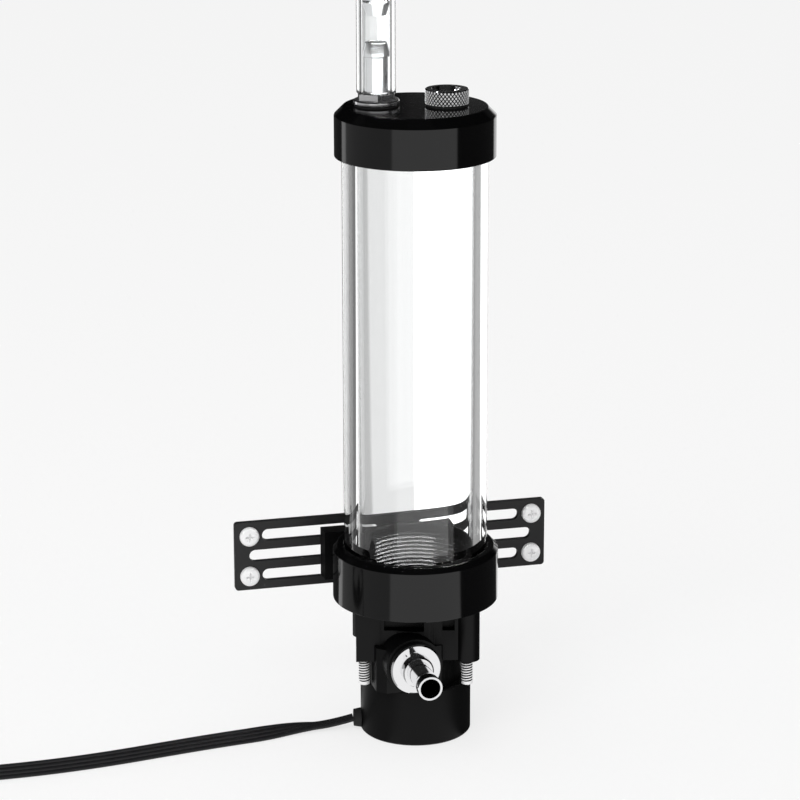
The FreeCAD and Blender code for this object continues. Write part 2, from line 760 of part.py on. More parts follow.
def make_top_cap():
    edge = S.edge_break / 2
    wall_bore = S.tube_radius + S.fit_gap
    seal_level = TUBE_TOP - S.spigot_reach / 2
    spigot_foot = TUBE_TOP - S.spigot_reach
    cap = new_body("top_cap")
    turned(cap, [
        (0, TUBE_TOP), (SPIGOT_BORE, TUBE_TOP), (SPIGOT_BORE, spigot_foot),
        (SPIGOT_RADIUS, spigot_foot), *seal_seat(seal_level), (SPIGOT_RADIUS, TUBE_TOP),
        (wall_bore, TUBE_TOP), (wall_bore, TOP_CAP_UNDERSIDE),
        (TOP_CAP_RADIUS - edge, TOP_CAP_UNDERSIDE), (TOP_CAP_RADIUS, TOP_CAP_UNDERSIDE + edge),
        (TOP_CAP_RADIUS, TOP_CAP_TOP - S.top_cap_bevel),
        (TOP_CAP_RADIUS - S.top_cap_bevel, TOP_CAP_TOP), (0, TOP_CAP_TOP),
    ])
    ports = new_sketch(cap, "XY_Plane", lift=TOP_CAP_TOP)
    for x, y in port_places():
        circle(ports, x, y, S.port_radius)
    pocket(cap, ports, S.top_cap_height)
    keep(cap, "top_cap")
    seal_ring("top_tube_seal", TUBE_BORE - S.seal_clear - S.seal_section, S.seal_section, seal_level)


def make_tube():
    turned_part("reservoir_tube", [
        (TUBE_BORE, TUBE_FOOT), (S.tube_radius, TUBE_FOOT), (S.tube_radius, TUBE_TOP),
        (TUBE_BORE, TUBE_TOP),
    ])


def hexagon(sketch, across):
    corner = as_size(across) / math.sqrt(3)
    points = []
    for i in range(6):
        angle = math.radians(60 * i + 30)
        points.append((corner * math.cos(angle), corner * math.sin(angle)))
    outline(sketch, points)


def thread_stub(bore):
    """Corners of a fitting's threaded end below its seat at height 0."""
    radius = S.port_radius - S.fit_gap
    foot = -S.thread_length - S.washer_thick
    lead_in = S.edge_break
    return [(bore, foot), (radius - lead_in, foot), (radius, foot + lead_in), (radius, 0)]


# Shape of a hose barb, as shares of the pitch of its rings
BARB_END = 0.6
BARB_FOOT, BARB_EDGE, BARB_LAND, BARB_TAPER = 0.5, 0.12, 0.25, 1.4


def barb_outline(start, length, root, crest, bore, count):
    """Corners of a hose barb that stands on height start, from its root to its bore."""
    pitch = length / (count + BARB_END)
    corners = [(root, start)]
    for i in range(count):
        low = start + pitch * (i + BARB_FOOT)
        corners += [(root, low), (crest, low + pitch * BARB_EDGE), (crest, low + pitch * BARB_LAND)]
        if i < count - 1:
            corners += [(root, start + pitch * (i + BARB_TAPER))]
    corners += [(bore + S.edge_break, start + length), (bore, start + length)]
    return corners


def make_hose_fitting():
    fitting = new_body("hose_fitting")
    deck = S.fitting_flange_thick
    turned(fitting, [
        *thread_stub(S.barb_bore), (S.fitting_flange, 0), (S.fitting_flange, deck - S.rim_step),
        (S.fitting_flange - S.rim_step, deck),
        *barb_outline(deck, S.barb_length + S.hex_height, S.barb_root, S.barb_crest, S.barb_bore, 3),
    ])
    nut = new_sketch(fitting, "XY_Plane", lift=deck)
    hexagon(nut, S.hex_across)
    circle(nut, 0, 0, S.barb_root - S.fit_gap)
    pad(fitting, nut, S.hex_height)
    x, y = port_places()[0]
    keep(place(fitting, x, y, FITTING_SEAT), "hose_fitting")
    washer("hose_fitting_washer", S.fitting_flange, x=x, y=y, z=TOP_CAP_TOP)

    turned_part("return_hose", [
        (S.hose_bore, 0), (S.hose_radius, 0), (S.hose_radius, S.hose_length),
        (S.hose_bore, S.hose_length),
    ], x=x, y=y, z=HOSE_FOOT)
    collar = S.hose_radius + S.rim_step
    coupler = new_body("hose_coupler")
    lower = [(r, -1 * z) for r, z in
             barb_outline(as_size(0), S.coupler_foot, S.barb_root, S.barb_crest, S.barb_bore, 2)]
    upper = barb_outline(S.coupler_collar, S.coupler_barb, S.barb_root, S.barb_crest, S.barb_bore, 3)
    turned(coupler, [*lower[::-1], (collar, 0), (collar, S.coupler_collar), *upper])
    keep(place(coupler, x, y, HOSE_FOOT + S.hose_length), "hose_coupler")


def washer(name, flange, **where):
    """A seal under a fitting's flange, a step smaller than the flange."""
    bore, outside = S.port_radius + S.washer_clear, flange - S.rim_step
    return turned_part(name, [
        (bore, 0), (outside, 0), (outside, S.washer_thick), (bore, S.washer_thick),
    ], **where)


def make_fill_plug():
    x, y = port_places()[1]
    edge = S.plug_edge
    recess_floor = S.plug_height - S.plug_recess_depth
    turned_part("fill_plug", [
        *thread_stub(0), (S.plug_radius - edge, 0),
        (S.plug_radius, edge), (S.plug_radius, S.plug_height - edge),
        (S.plug_radius - edge, S.plug_height), (S.plug_recess, S.plug_height),
        (S.plug_recess - S.edge_break, recess_floor), (0, recess_floor),
    ], x=x, y=y, z=FITTING_SEAT)
    washer("fill_plug_seal", S.plug_radius, x=x, y=y, z=TOP_CAP_TOP)


def make_outlet():
    flange_top = S.outlet_flange_thick
    step_top = flange_top + S.outlet_step
    tip = step_top + S.nozzle_length
    edge = S.edge_break
    turned_part("outlet_fitting", [
        *thread_stub(S.barb_bore), (S.outlet_flange, 0), (S.outlet_flange, flange_top - edge),
        (S.outlet_flange - edge, flange_top), (S.outlet_step_radius, flange_top),
        (S.outlet_step_radius, step_top - edge), (S.outlet_step_radius - edge, step_top),
        (S.nozzle_root, step_top), (S.nozzle_root, tip - S.lip_length - S.lip_ramp),
        (S.nozzle_lip, tip - S.lip_length), (S.nozzle_lip, tip - S.touch_gap),
        (S.nozzle_lip - S.touch_gap, tip), (S.barb_bore + edge, tip), (S.barb_bore, tip - S.flare_depth),
    ], x=S.outlet_offset, y=-OUTLET_SEAT, z=OUTLET_LEVEL, tilt=90)
    washer("outlet_washer", S.outlet_flange, x=S.outlet_offset, y=-S.outlet_boss_reach,
           z=OUTLET_LEVEL, tilt=90)


def make_block():
    """Block behind the bottom cap, hollowed to the cap and held by two sunk screws."""
    block = new_body("mount_block")
    foot = PLATE_LEVEL - S.block_height / 2
    half = S.block_width / 2
    body_sketch = new_sketch(block, "XY_Plane", lift=foot)
    rectangle(body_sketch, -half, PLATE_FACE - BLOCK_DEPTH, half, PLATE_FACE)
    pad(block, body_sketch, S.block_height)
    saddle = new_sketch(block, "XY_Plane", lift=foot + S.block_height)
    circle(saddle, 0, 0, BOTTOM_CAP_RADIUS + S.touch_gap)
    pocket(block, saddle, S.block_height)
    heads = new_sketch(block, "XZ_Plane", lift=-PLATE_FACE)
    for side in (-1, 1):
        circle(heads, side * S.tie_side, PLATE_LEVEL, S.tie_head + S.fit_gap)
    pocket(block, heads, S.tie_head_thick + S.fit_gap, up=True)
    shanks = new_sketch(block, "XZ_Plane", lift=-PLATE_FACE)
    for side in (-1, 1):
        circle(shanks, side * S.tie_side, PLATE_LEVEL, S.tie_radius + S.fit_gap)
        circle(shanks, side * S.clamp_side, PLATE_LEVEL, S.clamp_radius + S.fit_gap)
    pocket(block, shanks, BLOCK_DEPTH + S.touch_gap, up=True)
    keep(block, "mount_block")

    ties, clamps, washers = [], [], []
    for i, side in enumerate((-1, 1), start=1):
        tie = screw(f"cap_screw_{i}", S.tie_head, S.tie_head_thick, S.tie_radius, S.tie_length)
        ties.append(place(tie, side * S.tie_side, PLATE_FACE - S.tie_head_thick, PLATE_LEVEL, tilt=90))
        clamp = screw(f"clamp_screw_{i}", S.clamp_head, S.clamp_head_thick, S.clamp_radius, S.clamp_length)
        clamps.append(place(clamp, side * S.clamp_side, PLATE_BACK + S.clamp_washer_thick,
                            PLATE_LEVEL, tilt=90))
        ring = new_body(f"clamp_washer_{i}")
        turned(ring, [(S.clamp_radius + S.fit_gap, 0), (S.clamp_washer, 0),
                      (S.clamp_washer, S.clamp_washer_thick),
                      (S.clamp_radius + S.fit_gap, S.clamp_washer_thick)])
        washers.append(place(ring, side * S.clamp_side, PLATE_BACK, PLATE_LEVEL, tilt=-90))
    group("cap_screws", ties)
    group("clamp_screws", clamps)
    group("clamp_washers", washers)


# Shape of a screw's head, as shares of its radius and of its thickness
CROWN, BROW = 0.75, 0.95
BROW_RISE, RIM_RISE = 0.6, 0.15


def screw(name, head, head_thick, shank, length, waist=None):
    """A screw whose shank points along its own +Z, with its head below height 0.

    The waist, if any, is the radius and the length of a thinner plain part under the head.
    """
    body = new_body(name)
    root = [(shank, 0)] if waist is None else [(waist[0], 0), waist, (shank, waist[1])]
    turned(body, [
        (0, -head_thick), (head * CROWN, -head_thick), (head * BROW, -head_thick * BROW_RISE),
        (head, -head_thick * RIM_RISE), (head, 0), *root, (shank, length - S.edge_break),
        (shank - S.edge_break, length), (0, length),
    ])
    return body


def make_bracket():
    """Flat bracket with three slots at each side and a pair of screws at each end."""
    plate = new_body("bracket_plate")
    half = S.plate_length / 2
    screw_side = half - S.screw_margin
    foot, top = PLATE_LEVEL - S.plate_height / 2, PLATE_LEVEL + S.plate_height / 2
    face = new_sketch(plate, "XZ_Plane", lift=-PLATE_FACE)
    rectangle(face, -half, foot, half, top)
    pad(plate, face, S.plate_thick, down=True)
    cuts = new_sketch(plate, "XZ_Plane", lift=-PLATE_FACE)
    end = S.slot_height / 2
    for side in (-1, 1):
        for row, margin in ((-1, S.slot_margin), (0, S.long_slot_margin), (1, S.slot_margin)):
            inner, outer = S.slot_start + end, half - margin
            left, right = (-outer, -inner) if side < 0 else (inner, outer)
            slot(cuts, left, right, PLATE_LEVEL + row * S.slot_rise, end)
        for rise in (-1, 1):
            circle(cuts, side * screw_side, PLATE_LEVEL + rise * S.screw_rise, S.screw_hole)
    pocket(plate, cuts, S.plate_thick, up=False)
    cut_plate = plate.Tip
    corners = [f"Edge{i}" for i, edge in enumerate(cut_plate.Shape.Edges, start=1)
               if abs(abs(edge.CenterOfMass.x) - half.value) < 1e-3
               and abs(edge.CenterOfMass.y - PLATE_FACE.value - S.plate_thick.value / 2) < 1e-3]
    rounding = plate.newObject("PartDesign::Fillet", "bracket_plate_corners")
    rounding.Base = (cut_plate, corners)
    rounding.Radius = S.plate_corner.value
    rounding.setExpression("Radius", S.plate_corner.text)
    doc.recompute()
    keep(plate, "bracket_plate")

    screws = []
    waist = (S.screw_waist, S.plate_thick + 2 * S.fit_gap)
    for side in (-1, 1):
        for rise in (-1, 1):
            pan = screw(f"bracket_screw_{len(screws) + 1}", S.screw_head, S.screw_head_thick,
                        S.screw_radius, S.screw_length, waist)
            screws.append(place(pan, side * screw_side, PLATE_FACE,
                                PLATE_LEVEL + rise * S.screw_rise, tilt=-90))
    group("bracket_screws", screws)


# Middle of the cable from the grommet to its coil, and from the coil to its connector
CABLE_ROUTE = [
    (-22.03, 3.49, 3.8), (-30.7, 4.85, 3.3), (-42.0, 4.4, 2.6), (-56.0, -0.4, 2.6),
    (-72.0, -2.3, 2.6), (-90.0, -5.2, 2.6), (-110.0, -8.7, 2.6), (-131.0, -10.9, 2.6),
    (-152.5, -11.6, 2.9), (-174.0, -11.0, 3.6),
]
TAIL_ROUTE = [(-176.5, 45.6, 3.6), (-170.4, 37.2, 3.3), (-169.7, 26.9, 3.0), (-174.5, 17.8, 2.9)]
COIL_CENTRE = (-188.0, 21.4)
# Arc of a bend as a share of its runs, and bevel of the coil as a share of the cable's width
ARC_SHARE = 0.45
BEVEL_SHARE = 0.3


def bent_tube(points, radius):
    """A round tube along straight runs joined by tangent arcs as large as the runs allow."""
    spots = [Vector(*p) for p in points]
    edges = []
    start = spots[0]
    for before, here, after in zip(spots, spots[1:], spots[2:]):
        reach = ARC_SHARE * min((here - before).Length, (after - here).Length)
        back, on = (before - here).normalize(), (after - here).normalize()
        turn = math.pi - back.getAngle(on)
        bend = reach / math.tan(turn / 2)
        print(f"cable bend radius {bend:.1f} mm at {tuple(round(v, 1) for v in here)}")
        enter, leave = here + back * reach, here + on * reach
        middle = here + (back + on).normalize() * (math.hypot(bend, reach) - bend)
        edges.append(Part.LineSegment(start, enter).toShape())
        edges.append(Part.Arc(enter, middle, leave).toShape())
        start = leave
    edges.append(Part.LineSegment(start, spots[-1]).toShape())
    path = Part.Wire(edges)
    ring = Part.Wire([Part.Circle(spots[0], spots[1] - spots[0], radius).toShape()])
    tube = path.makePipeShell([ring], True, False)
    section = math.pi * radius ** 2
    print(f"cable tube {path.Length:.1f} mm, volume over section {tube.Volume / section:.1f} mm")
    return tube


def make_cable():
    half = S.cable_width / 2
    direction = math.radians(S.cable_exit_angle.value)
    lip_foot = S.motor_radius + S.touch_gap
    lip_end = S.motor_radius + S.grommet_reach
    grommet = turned_part("cable_grommet", [
        (0, S.motor_radius - S.motor_wall), (half, S.motor_radius - S.motor_wall),
        (half, lip_foot), (S.grommet_lip, lip_foot), (S.grommet_lip - S.edge_break, lip_end),
        (0, lip_end),
    ])
    grommet.Placement = Placement(
        Vector(0, 0, S.cable_exit_level.value),
        Rotation(Vector(0, 0, 1), Vector(math.cos(direction), math.sin(direction), 0)))
    grommet.setExpression("Placement.Base.z", S.cable_exit_level.text)
    for name, route in (("pump_cable", CABLE_ROUTE), ("cable_tail", TAIL_ROUTE)):
        cable = doc.addObject("Part::Feature", name)
        cable.Shape = bent_tube(route, half.value)
        keep(cable, name)


def make_coil():
    """The spare cable as one ring, with a strap round it."""
    x, y = COIL_CENTRE
    low, high = S.coil_lift, S.coil_lift + S.cable_width
    inner, outer = S.coil_middle - S.cable_width, S.coil_middle + S.cable_width
    bevel = S.cable_width * BEVEL_SHARE
    turned_part("cable_coil", [
        (inner, low + bevel), (inner + bevel, low), (outer - bevel, low), (outer, low + bevel),
        (outer, high - bevel), (outer - bevel, high), (inner + bevel, high), (inner, high - bevel),
    ], x=x, y=y)

    gap = 2 * S.touch_gap
    strap = S.strap_thick
    tie = new_body("cable_tie")
    loop = new_sketch(tie, "XZ_Plane", lift=-S.strap_width / 2)
    rectangle(loop, -outer - gap - strap, low - gap - strap, gap + strap - inner, high + gap + strap)
    rectangle(loop, -outer - gap, low - gap, gap - inner, high + gap)
    pad(tie, loop, S.strap_width)
    lock = new_sketch(tie, "XY_Plane", lift=high + gap + strap)
    lock_half = S.strap_lock / 2
    rectangle(lock, -S.coil_middle - lock_half, -lock_half, lock_half - S.coil_middle, lock_half)
    pad(tie, lock, lock_half)
    keep(place(tie, x, y), "cable_tie")


def make_connector():
    """Four-way socket on the end of the cable, in line with the cable's last run."""
    before, end = [Vector(*p) for p in TAIL_ROUTE[-2:]]
    turn = as_size(round(math.degrees(math.atan2(end.y - before.y, end.x - before.x)), 2))
    start = end + (end - before).normalize() * (2 * S.touch_gap.value)
    half = S.connector_width / 2
    middle = S.connector_thick / 2
    housing = new_body("cable_connector")
    base = new_sketch(housing, "XY_Plane")
    rectangle(base, 0, -half, S.connector_length, half)
    pad(housing, base, S.connector_thick)
    ribs = new_sketch(housing, "XY_Plane", lift=S.connector_thick)
    for side in (-1, 1):
        place_of_rib = side * S.contact_pitch
        rectangle(ribs, 0, place_of_rib - S.connector_rib / 2,
                  S.connector_rib_length, place_of_rib + S.connector_rib / 2)
    pad(housing, ribs, S.connector_rib)
    sockets = new_sketch(housing, "YZ_Plane", lift=S.connector_length)
    contacts = new_body("connector_contacts")
    pins = new_sketch(contacts, "YZ_Plane", lift=S.connector_length - S.socket_depth)
    for step in (-1.5, -0.5, 0.5, 1.5):
        across = step * S.contact_pitch
        for sketch, size in ((sockets, S.socket_size / 2), (pins, S.contact_size / 2)):
            rectangle(sketch, across - size, middle - size, across + size, middle + size)
    pocket(housing, sockets, S.socket_depth)
    pad(contacts, pins, S.socket_depth - S.edge_break)
    for body, name in ((housing, "cable_connector"), (contacts, "connector_contacts")):
        keep(place(body, start.x, start.y, turn=turn), name)


def finish():
    """Stop on any failed object, then write one STEP file for each sub-part."""
    doc.recompute()
    for obj in doc.Objects:
        if "Invalid" in obj.State or "Error" in obj.State:
            raise RuntimeError(f"{obj.Name} failed: {obj.State}")
    os.makedirs("parts", exist_ok=True)
    for obj in SUB_PARTS:
        shape = obj.Shape
        if shape.isNull() or not shape.isValid():
            raise RuntimeError(f"{obj.Label} has no valid shape")
        shape.exportStep(f"parts/{obj.Label}.step")
        print(f"{obj.Label}: {len(shape.Solids)} solids, {shape.Volume:.0f} cubic mm")


make_motor()
make_stator()
make_rotor(make_can())
make_head()
make_bottom_cap()
make_tube()
make_top_cap()
make_hose_fitting()
make_fill_plug()
make_outlet()
make_block()
make_bracket()
make_cable()
make_coil()
make_connector()
finish()
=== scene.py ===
import bmesh
import bpy
import math
from bpy.props import FloatProperty, FloatVectorProperty, IntProperty, PointerProperty
from mathutils import Matrix, Vector


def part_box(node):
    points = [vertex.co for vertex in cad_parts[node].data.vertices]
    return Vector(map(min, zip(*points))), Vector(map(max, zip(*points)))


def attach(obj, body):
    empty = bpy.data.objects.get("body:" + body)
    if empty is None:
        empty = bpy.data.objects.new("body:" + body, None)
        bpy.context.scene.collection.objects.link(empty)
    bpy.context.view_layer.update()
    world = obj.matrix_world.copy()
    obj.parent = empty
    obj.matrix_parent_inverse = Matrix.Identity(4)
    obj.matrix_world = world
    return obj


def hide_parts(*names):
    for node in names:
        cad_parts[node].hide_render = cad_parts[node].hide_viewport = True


bl_info = {
    "name": "Coolant Pump Reservoir",
    "version": (1, 0, 0),
    "blender": (4, 5, 0),
    "location": "3D View > Sidebar > Reservoir",
    "description": "Dresses the coolant pump reservoir: tube, caps, pump, fittings, bracket and lead",
    "category": "Object",
}

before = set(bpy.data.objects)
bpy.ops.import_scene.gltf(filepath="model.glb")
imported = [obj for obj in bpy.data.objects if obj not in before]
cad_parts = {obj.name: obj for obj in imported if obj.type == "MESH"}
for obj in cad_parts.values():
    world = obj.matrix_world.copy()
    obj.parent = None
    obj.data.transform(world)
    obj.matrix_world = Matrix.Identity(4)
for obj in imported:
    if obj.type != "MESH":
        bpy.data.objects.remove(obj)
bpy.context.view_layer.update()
MM = 0.001
PUMP = "pump_reservoir"
TINY = 1e-7
MERGE = 1e-6


def low(node):
    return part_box(node)[0]


def high(node):
    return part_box(node)[1]


def middle(node):
    return (low(node) + high(node)) / 2


def radius_of(node):
    """Half of a round node's width across X."""
    return (high(node).x - low(node).x) / 2


def length(name, description, millimetres):
    return FloatProperty(name=name, description=description, default=millimetres * MM, unit="LENGTH")


def angle(name, description, degrees):
    return FloatProperty(name=name, description=description, default=math.radians(degrees),
                         subtype="ANGLE")


def count(name, description, number, least=1):
    return IntProperty(name=name, description=description, default=number, min=least)


class StudioSettings(bpy.types.PropertyGroup):
    azimuth: angle("Azimuth", "Direction the camera looks along, from +Y", -14.417)
    tilt: angle("Tilt", "How far the camera looks down", 16.247)
    roll: angle("Roll", "Turn of the picture about its middle", -0.094)
    lens: FloatProperty(name="Lens", description="Focal length on a 36 mm sensor, in millimetres",
                        default=135.245)
    distance: FloatProperty(name="Distance", description="From the camera to what it looks at",
                            default=1.038791, unit="LENGTH", subtype="DISTANCE")
    target: FloatVectorProperty(name="Target", description="Point in the middle of the picture",
                                default=(-0.005156, 0.001326, 0.120752), subtype="TRANSLATION",
                                unit="LENGTH")
    floor_size: FloatProperty(name="Floor size", description="Half width of the floor", default=6.0,
                              unit="LENGTH")
    ambient: FloatProperty(name="Ambient", description="Strength of the even light from all sides",
                           default=0.7, min=0)
    key_power: FloatProperty(name="Key light", description="Power of the large soft lamp", default=9.0,
                             min=0, unit="POWER")


class LeadSettings(bpy.types.PropertyGroup):
    wires: count("Wires", "Cores that lie side by side", 4)
    wire_width: length("Wire", "Width of one core", 1.3)
    coil_middle: length("Coil", "Radius at the middle of the coil's turns", 30.0)
    coil_turns: FloatProperty(name="Turns", description="Turns of the coil", default=1.5, min=0.5)
    coil_points: count("Points", "Route points in each turn", 14, least=12)
    colour: FloatVectorProperty(name="Jacket", description="Colour of the lead",
                                default=(0.012, 0.012, 0.013), subtype="COLOR")


class Value:
    """A socket, so that shader maths can be written as a plain expression."""

    def __init__(self, nodes, socket):
        self.nodes = nodes
        self.socket = socket

    def join(self, operation, *others):
        return self.nodes.add("Math", [self, *others], operation=operation)

    def __add__(self, other):
        return self.join("ADD", other)

    __radd__ = __add__

    def __mul__(self, other):
        return self.join("MULTIPLY", other)

    __rmul__ = __mul__

    def __sub__(self, other):
        return self.join("SUBTRACT", other)

    def __rsub__(self, other):
        return self.nodes.add("Math", [other, self], operation="SUBTRACT")

    def sine(self):
        return self.join("SINE")

    def above(self, start, end):
        """0 below start and 1 above end, with a smooth step between them."""
        return self.nodes.add("MapRange", {"Value": self, "From Min": start, "From Max": end},
                              interpolation_type="SMOOTHSTEP")

    def within(self, start, end, soft):
        """1 between start and end, and 0 outside."""
        return self.above(start - soft, start + soft) * (1 - self.above(end - soft, end + soft))


class Nodes:
    """The node tree of one material or world, empty at first."""

    def __init__(self, owner):
        owner.use_nodes = True
        self.tree = owner.node_tree
        self.tree.nodes.clear()

    def add(self, kind, inputs=(), output=0, **settings):
        """Add one node: its settings first, then the values or links of its sockets."""
        node = self.tree.nodes.new("ShaderNode" + kind)
        for name, setting in settings.items():
            setattr(node, name, setting)
        pairs = inputs.items() if isinstance(inputs, dict) else enumerate(inputs)
        for key, given in pairs:
            socket = node.inputs[key]
            if isinstance(given, Value):
                self.tree.links.new(given.socket, socket)
            elif isinstance(given, tuple) and len(given) == 3 and socket.type == "RGBA":
                socket.default_value = (*given, 1)
            else:
                socket.default_value = given
        return Value(self, node.outputs[output])

    def show(self, shader, kind="Material"):
        """Make a shader the surface of the material or world."""
        self.tree.links.new(shader.socket, self.tree.nodes.new("ShaderNodeOutput" + kind).inputs[0])

    def ray(self, kind):
        """1 for one kind of ray, such as glossy rays, and 0 for the others."""
        return self.add("LightPath", output=f"Is {kind} Ray")

    def place(self):
        """Position on the object, in metres."""
        return self.add("TexCoord", output="Object")

    def stored(self, name):
        """A point attribute of the mesh."""
        return self.add("Attribute", output="Fac", attribute_name=name)

    def parts(self, vector):
        """The three parts of a vector."""
        return [self.add("SeparateXYZ", [vector], output=axis) for axis in "XYZ"]

    def noise(self, size, detail, rough, stretch=(1, 1, 1)):
        """Noise whose grains are about size metres wide, from 0 to 1."""
        vector = self.add("Mapping", {"Vector": self.place(), "Scale": tuple(s / size for s in stretch)})
        return self.add("TexNoise", {"Vector": vector, "Scale": 1.0, "Detail": detail, "Roughness": rough})

    def shade(self, dark, bright, factor):
        """Colour between two colours."""
        return self.add("Mix", {"Factor": factor, 6: dark, 7: bright}, output=2, data_type="RGBA")

    def bump(self, height, depth, strength):
        return self.add("Bump", {"Height": height, "Distance": depth, "Strength": strength})


def new_material(name):
    material = bpy.data.materials.new(name)
    return material, Nodes(material)


def principled(name, colour, build, **sockets):
    """A Principled material. build gives what varies over the surface, as a dict of sockets."""
    material, nodes = new_material(name)
    inputs = {"Base Color": colour}
    inputs.update({key.replace("_", " "): value for key, value in sockets.items()})
    inputs.update(build(nodes))
    nodes.show(nodes.add("BsdfPrincipled", inputs))
    material.diffuse_color = (*colour, 1)
    return material


def bare_mesh(name, verts, faces):
    mesh = bpy.data.meshes.new(name)
    mesh.from_pydata([tuple(v) for v in verts], [], faces)
    mesh.validate()
    return mesh


def dress(name, mesh, material, body, replaces=(), sharp=35):
    """An object of a mesh that rides on a body. Edges sharper than sharp, in degrees, stay sharp."""
    mesh.shade_smooth()
    mesh.set_sharp_from_angle(angle=math.radians(sharp))
    piece = bpy.data.objects.new(name, mesh)
    bpy.context.scene.collection.objects.link(piece)
    mesh.materials.append(material)
    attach(piece, body)
    if replaces:
        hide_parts(*replaces)
    return piece


def rounded(corners, radius):
    """A closed outline with each corner eased by a small arc, no more than its sides allow."""
    arc_steps, side_share, nearly_straight = 4, 0.45, math.radians(165)
    result = []
    for i, corner in enumerate(corners):
        here = Vector(corner)
        back, on = Vector(corners[i - 1]) - here, Vector(corners[(i + 1) % len(corners)]) - here
        reach = min(radius, side_share * back.length, side_share * on.length)
        if here.x <= TINY or reach < MERGE or back.angle(on) > nearly_straight:
            result.append(here)
            continue
        start, end = here + back.normalized() * reach, here + on.normalized() * reach
        for k in range(arc_steps + 1):
            t = k / arc_steps
            result.append(start * (1 - t) ** 2 + here * 2 * t * (1 - t) + end * t ** 2)
    return result


def lathe_mesh(name, outline, segments, matrix=None, wave=None):
    """Turn a closed outline of (radius, height) about Z. wave(turn, point) gives the radius a factor."""
    verts, faces, rings = [], [], []
    for point in outline:
        if point[0] <= TINY:
            rings.append([len(verts)])
            verts.append(Vector((0, 0, point[1])))
            continue
        ring = []
        for k in range(segments):
            angle = 2 * math.pi * k / segments
            r = point[0] * (wave(k / segments, point) if wave else 1)
            ring.append(len(verts))
            verts.append(Vector((r * math.cos(angle), r * math.sin(angle), point[1])))
        rings.append(ring)
    for a, b in zip(rings, rings[1:] + rings[:1]):
        if len(a) == 1 and len(b) == 1:
            continue
        for k in range(segments):
            n = (k + 1) % segments
            if len(a) == 1:
                faces.append((a[0], b[n], b[k]))
            elif len(b) == 1:
                faces.append((a[k], a[n], b[0]))
            else:
                faces.append((a[k], a[n], b[n], b[k]))
    mesh = bare_mesh(name, [(matrix @ v) if matrix else v for v in verts], faces)
    face_outwards(mesh)
    return mesh


def face_outwards(mesh):
    work = bmesh.new()
    work.from_mesh(mesh)
    bmesh.ops.recalc_face_normals(work, faces=work.faces)
    work.to_mesh(mesh)
    work.free()


def flat_shaded(piece):
    """Let the large faces keep their own normals, so that only the eased edges between them curve."""
    weighted = piece.modifiers.new("Weighted normals", "WEIGHTED_NORMAL")
    weighted.keep_sharp = True


def welded(node):
    """A node's own mesh, as a bmesh whose touching points are one."""
    work = bmesh.new()
    work.from_mesh(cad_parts[node].data)
    bmesh.ops.remove_doubles(work, verts=work.verts, dist=MERGE)
    return work


def softened_copy(node, material, bevel, body):
    """A node's own shape with its edges eased and its round faces smooth, in place of the node."""
    sharp, nearly_flat = 30, math.radians(0.6)
    work = welded(node)
    bmesh.ops.dissolve_limit(work, angle_limit=nearly_flat, verts=work.verts, edges=work.edges)
    mesh = bpy.data.meshes.new(node + "_shell")
    work.to_mesh(mesh)
    work.free()
    piece = dress(node + "_shell", mesh, material, body, (node,), sharp)
    eased = piece.modifiers.new("Eased edges", "BEVEL")
    eased.width = bevel
    eased.segments = 2
    eased.limit_method = "ANGLE"
    eased.angle_limit = math.radians(sharp)
    eased.harden_normals = True


def joined(meshes, name):
    """One mesh from several, each given as points and faces."""
    verts, faces = [], []
    for some_verts, some_faces in meshes:
        base = len(verts)
        verts += some_verts
        faces += [tuple(base + v for v in face) for face in some_faces]
    mesh = bare_mesh(name, verts, faces)
    face_outwards(mesh)
    return mesh


def moved(mesh, stand):
    """Points and faces of a mesh that a matrix moves. The mesh itself goes."""
    given = [stand @ v.co for v in mesh.vertices], [tuple(p.vertices) for p in mesh.polygons]
    bpy.data.meshes.remove(mesh)
    return given


def cut_out(mesh, cutter, name):
    """A mesh with another one cut out of it."""
    body = bpy.data.objects.new(name, mesh)
    tool = bpy.data.objects.new(name + "_cutter", cutter)
    for obj in (body, tool):
        bpy.context.scene.collection.objects.link(obj)
    cut = body.modifiers.new("Cut", "BOOLEAN")
    cut.object = tool
    cut.solver = "EXACT"
    graph = bpy.context.evaluated_depsgraph_get()
    result = bpy.data.meshes.new_from_object(body.evaluated_get(graph))
    for obj in (body, tool):
        bpy.data.objects.remove(obj)
    return result


def route_line(points):
    """Points read along the NURBS spline through a route's control points."""
    curve = bpy.data.curves.new("route", "CURVE")
    curve.dimensions = "3D"
    spline = curve.splines.new("NURBS")
    spline.points.add(len(points) - 1)
    for spot, point in zip(spline.points, points):
        spot.co = (*point, 1)
    spline.order_u = 3
    spline.use_endpoint_u = True
    curve.resolution_u = 10
    guide = bpy.data.objects.new("route", curve)
    bpy.context.scene.collection.objects.link(guide)
    bpy.context.view_layer.update()
    mesh = bpy.data.meshes.new_from_object(guide)
    line = [v.co.copy() for v in mesh.vertices]
    bpy.data.meshes.remove(mesh)
    bpy.data.objects.remove(guide)
    bpy.data.curves.remove(curve)
    return line


def swept(line, radius, sides, offset):
    """Points and faces of a capped tube along a line. offset(i, side, up) moves its middle."""
    verts, faces = [], []
    last = len(line) - 1
    for i, spot in enumerate(line):
        ahead = line[min(i + 1, last)] - line[max(i - 1, 0)]
        tangent = ahead.normalized()
        side = tangent.cross(Vector((0, 0, 1))).normalized()
        up = side.cross(tangent)
        centre = spot + offset(i, side, up)
        for k in range(sides):
            angle = 2 * math.pi * k / sides
            verts.append(centre + (side * math.cos(angle) + up * math.sin(angle)) * radius)
    for i in range(last):
        for k in range(sides):
            n = (k + 1) % sides
            faces.append((i * sides + k, i * sides + n, (i + 1) * sides + n, (i + 1) * sides + k))
    faces.append(tuple(range(sides))[::-1])
    faces.append(tuple(range(last * sides, (last + 1) * sides)))
    return verts, faces


# Finishes

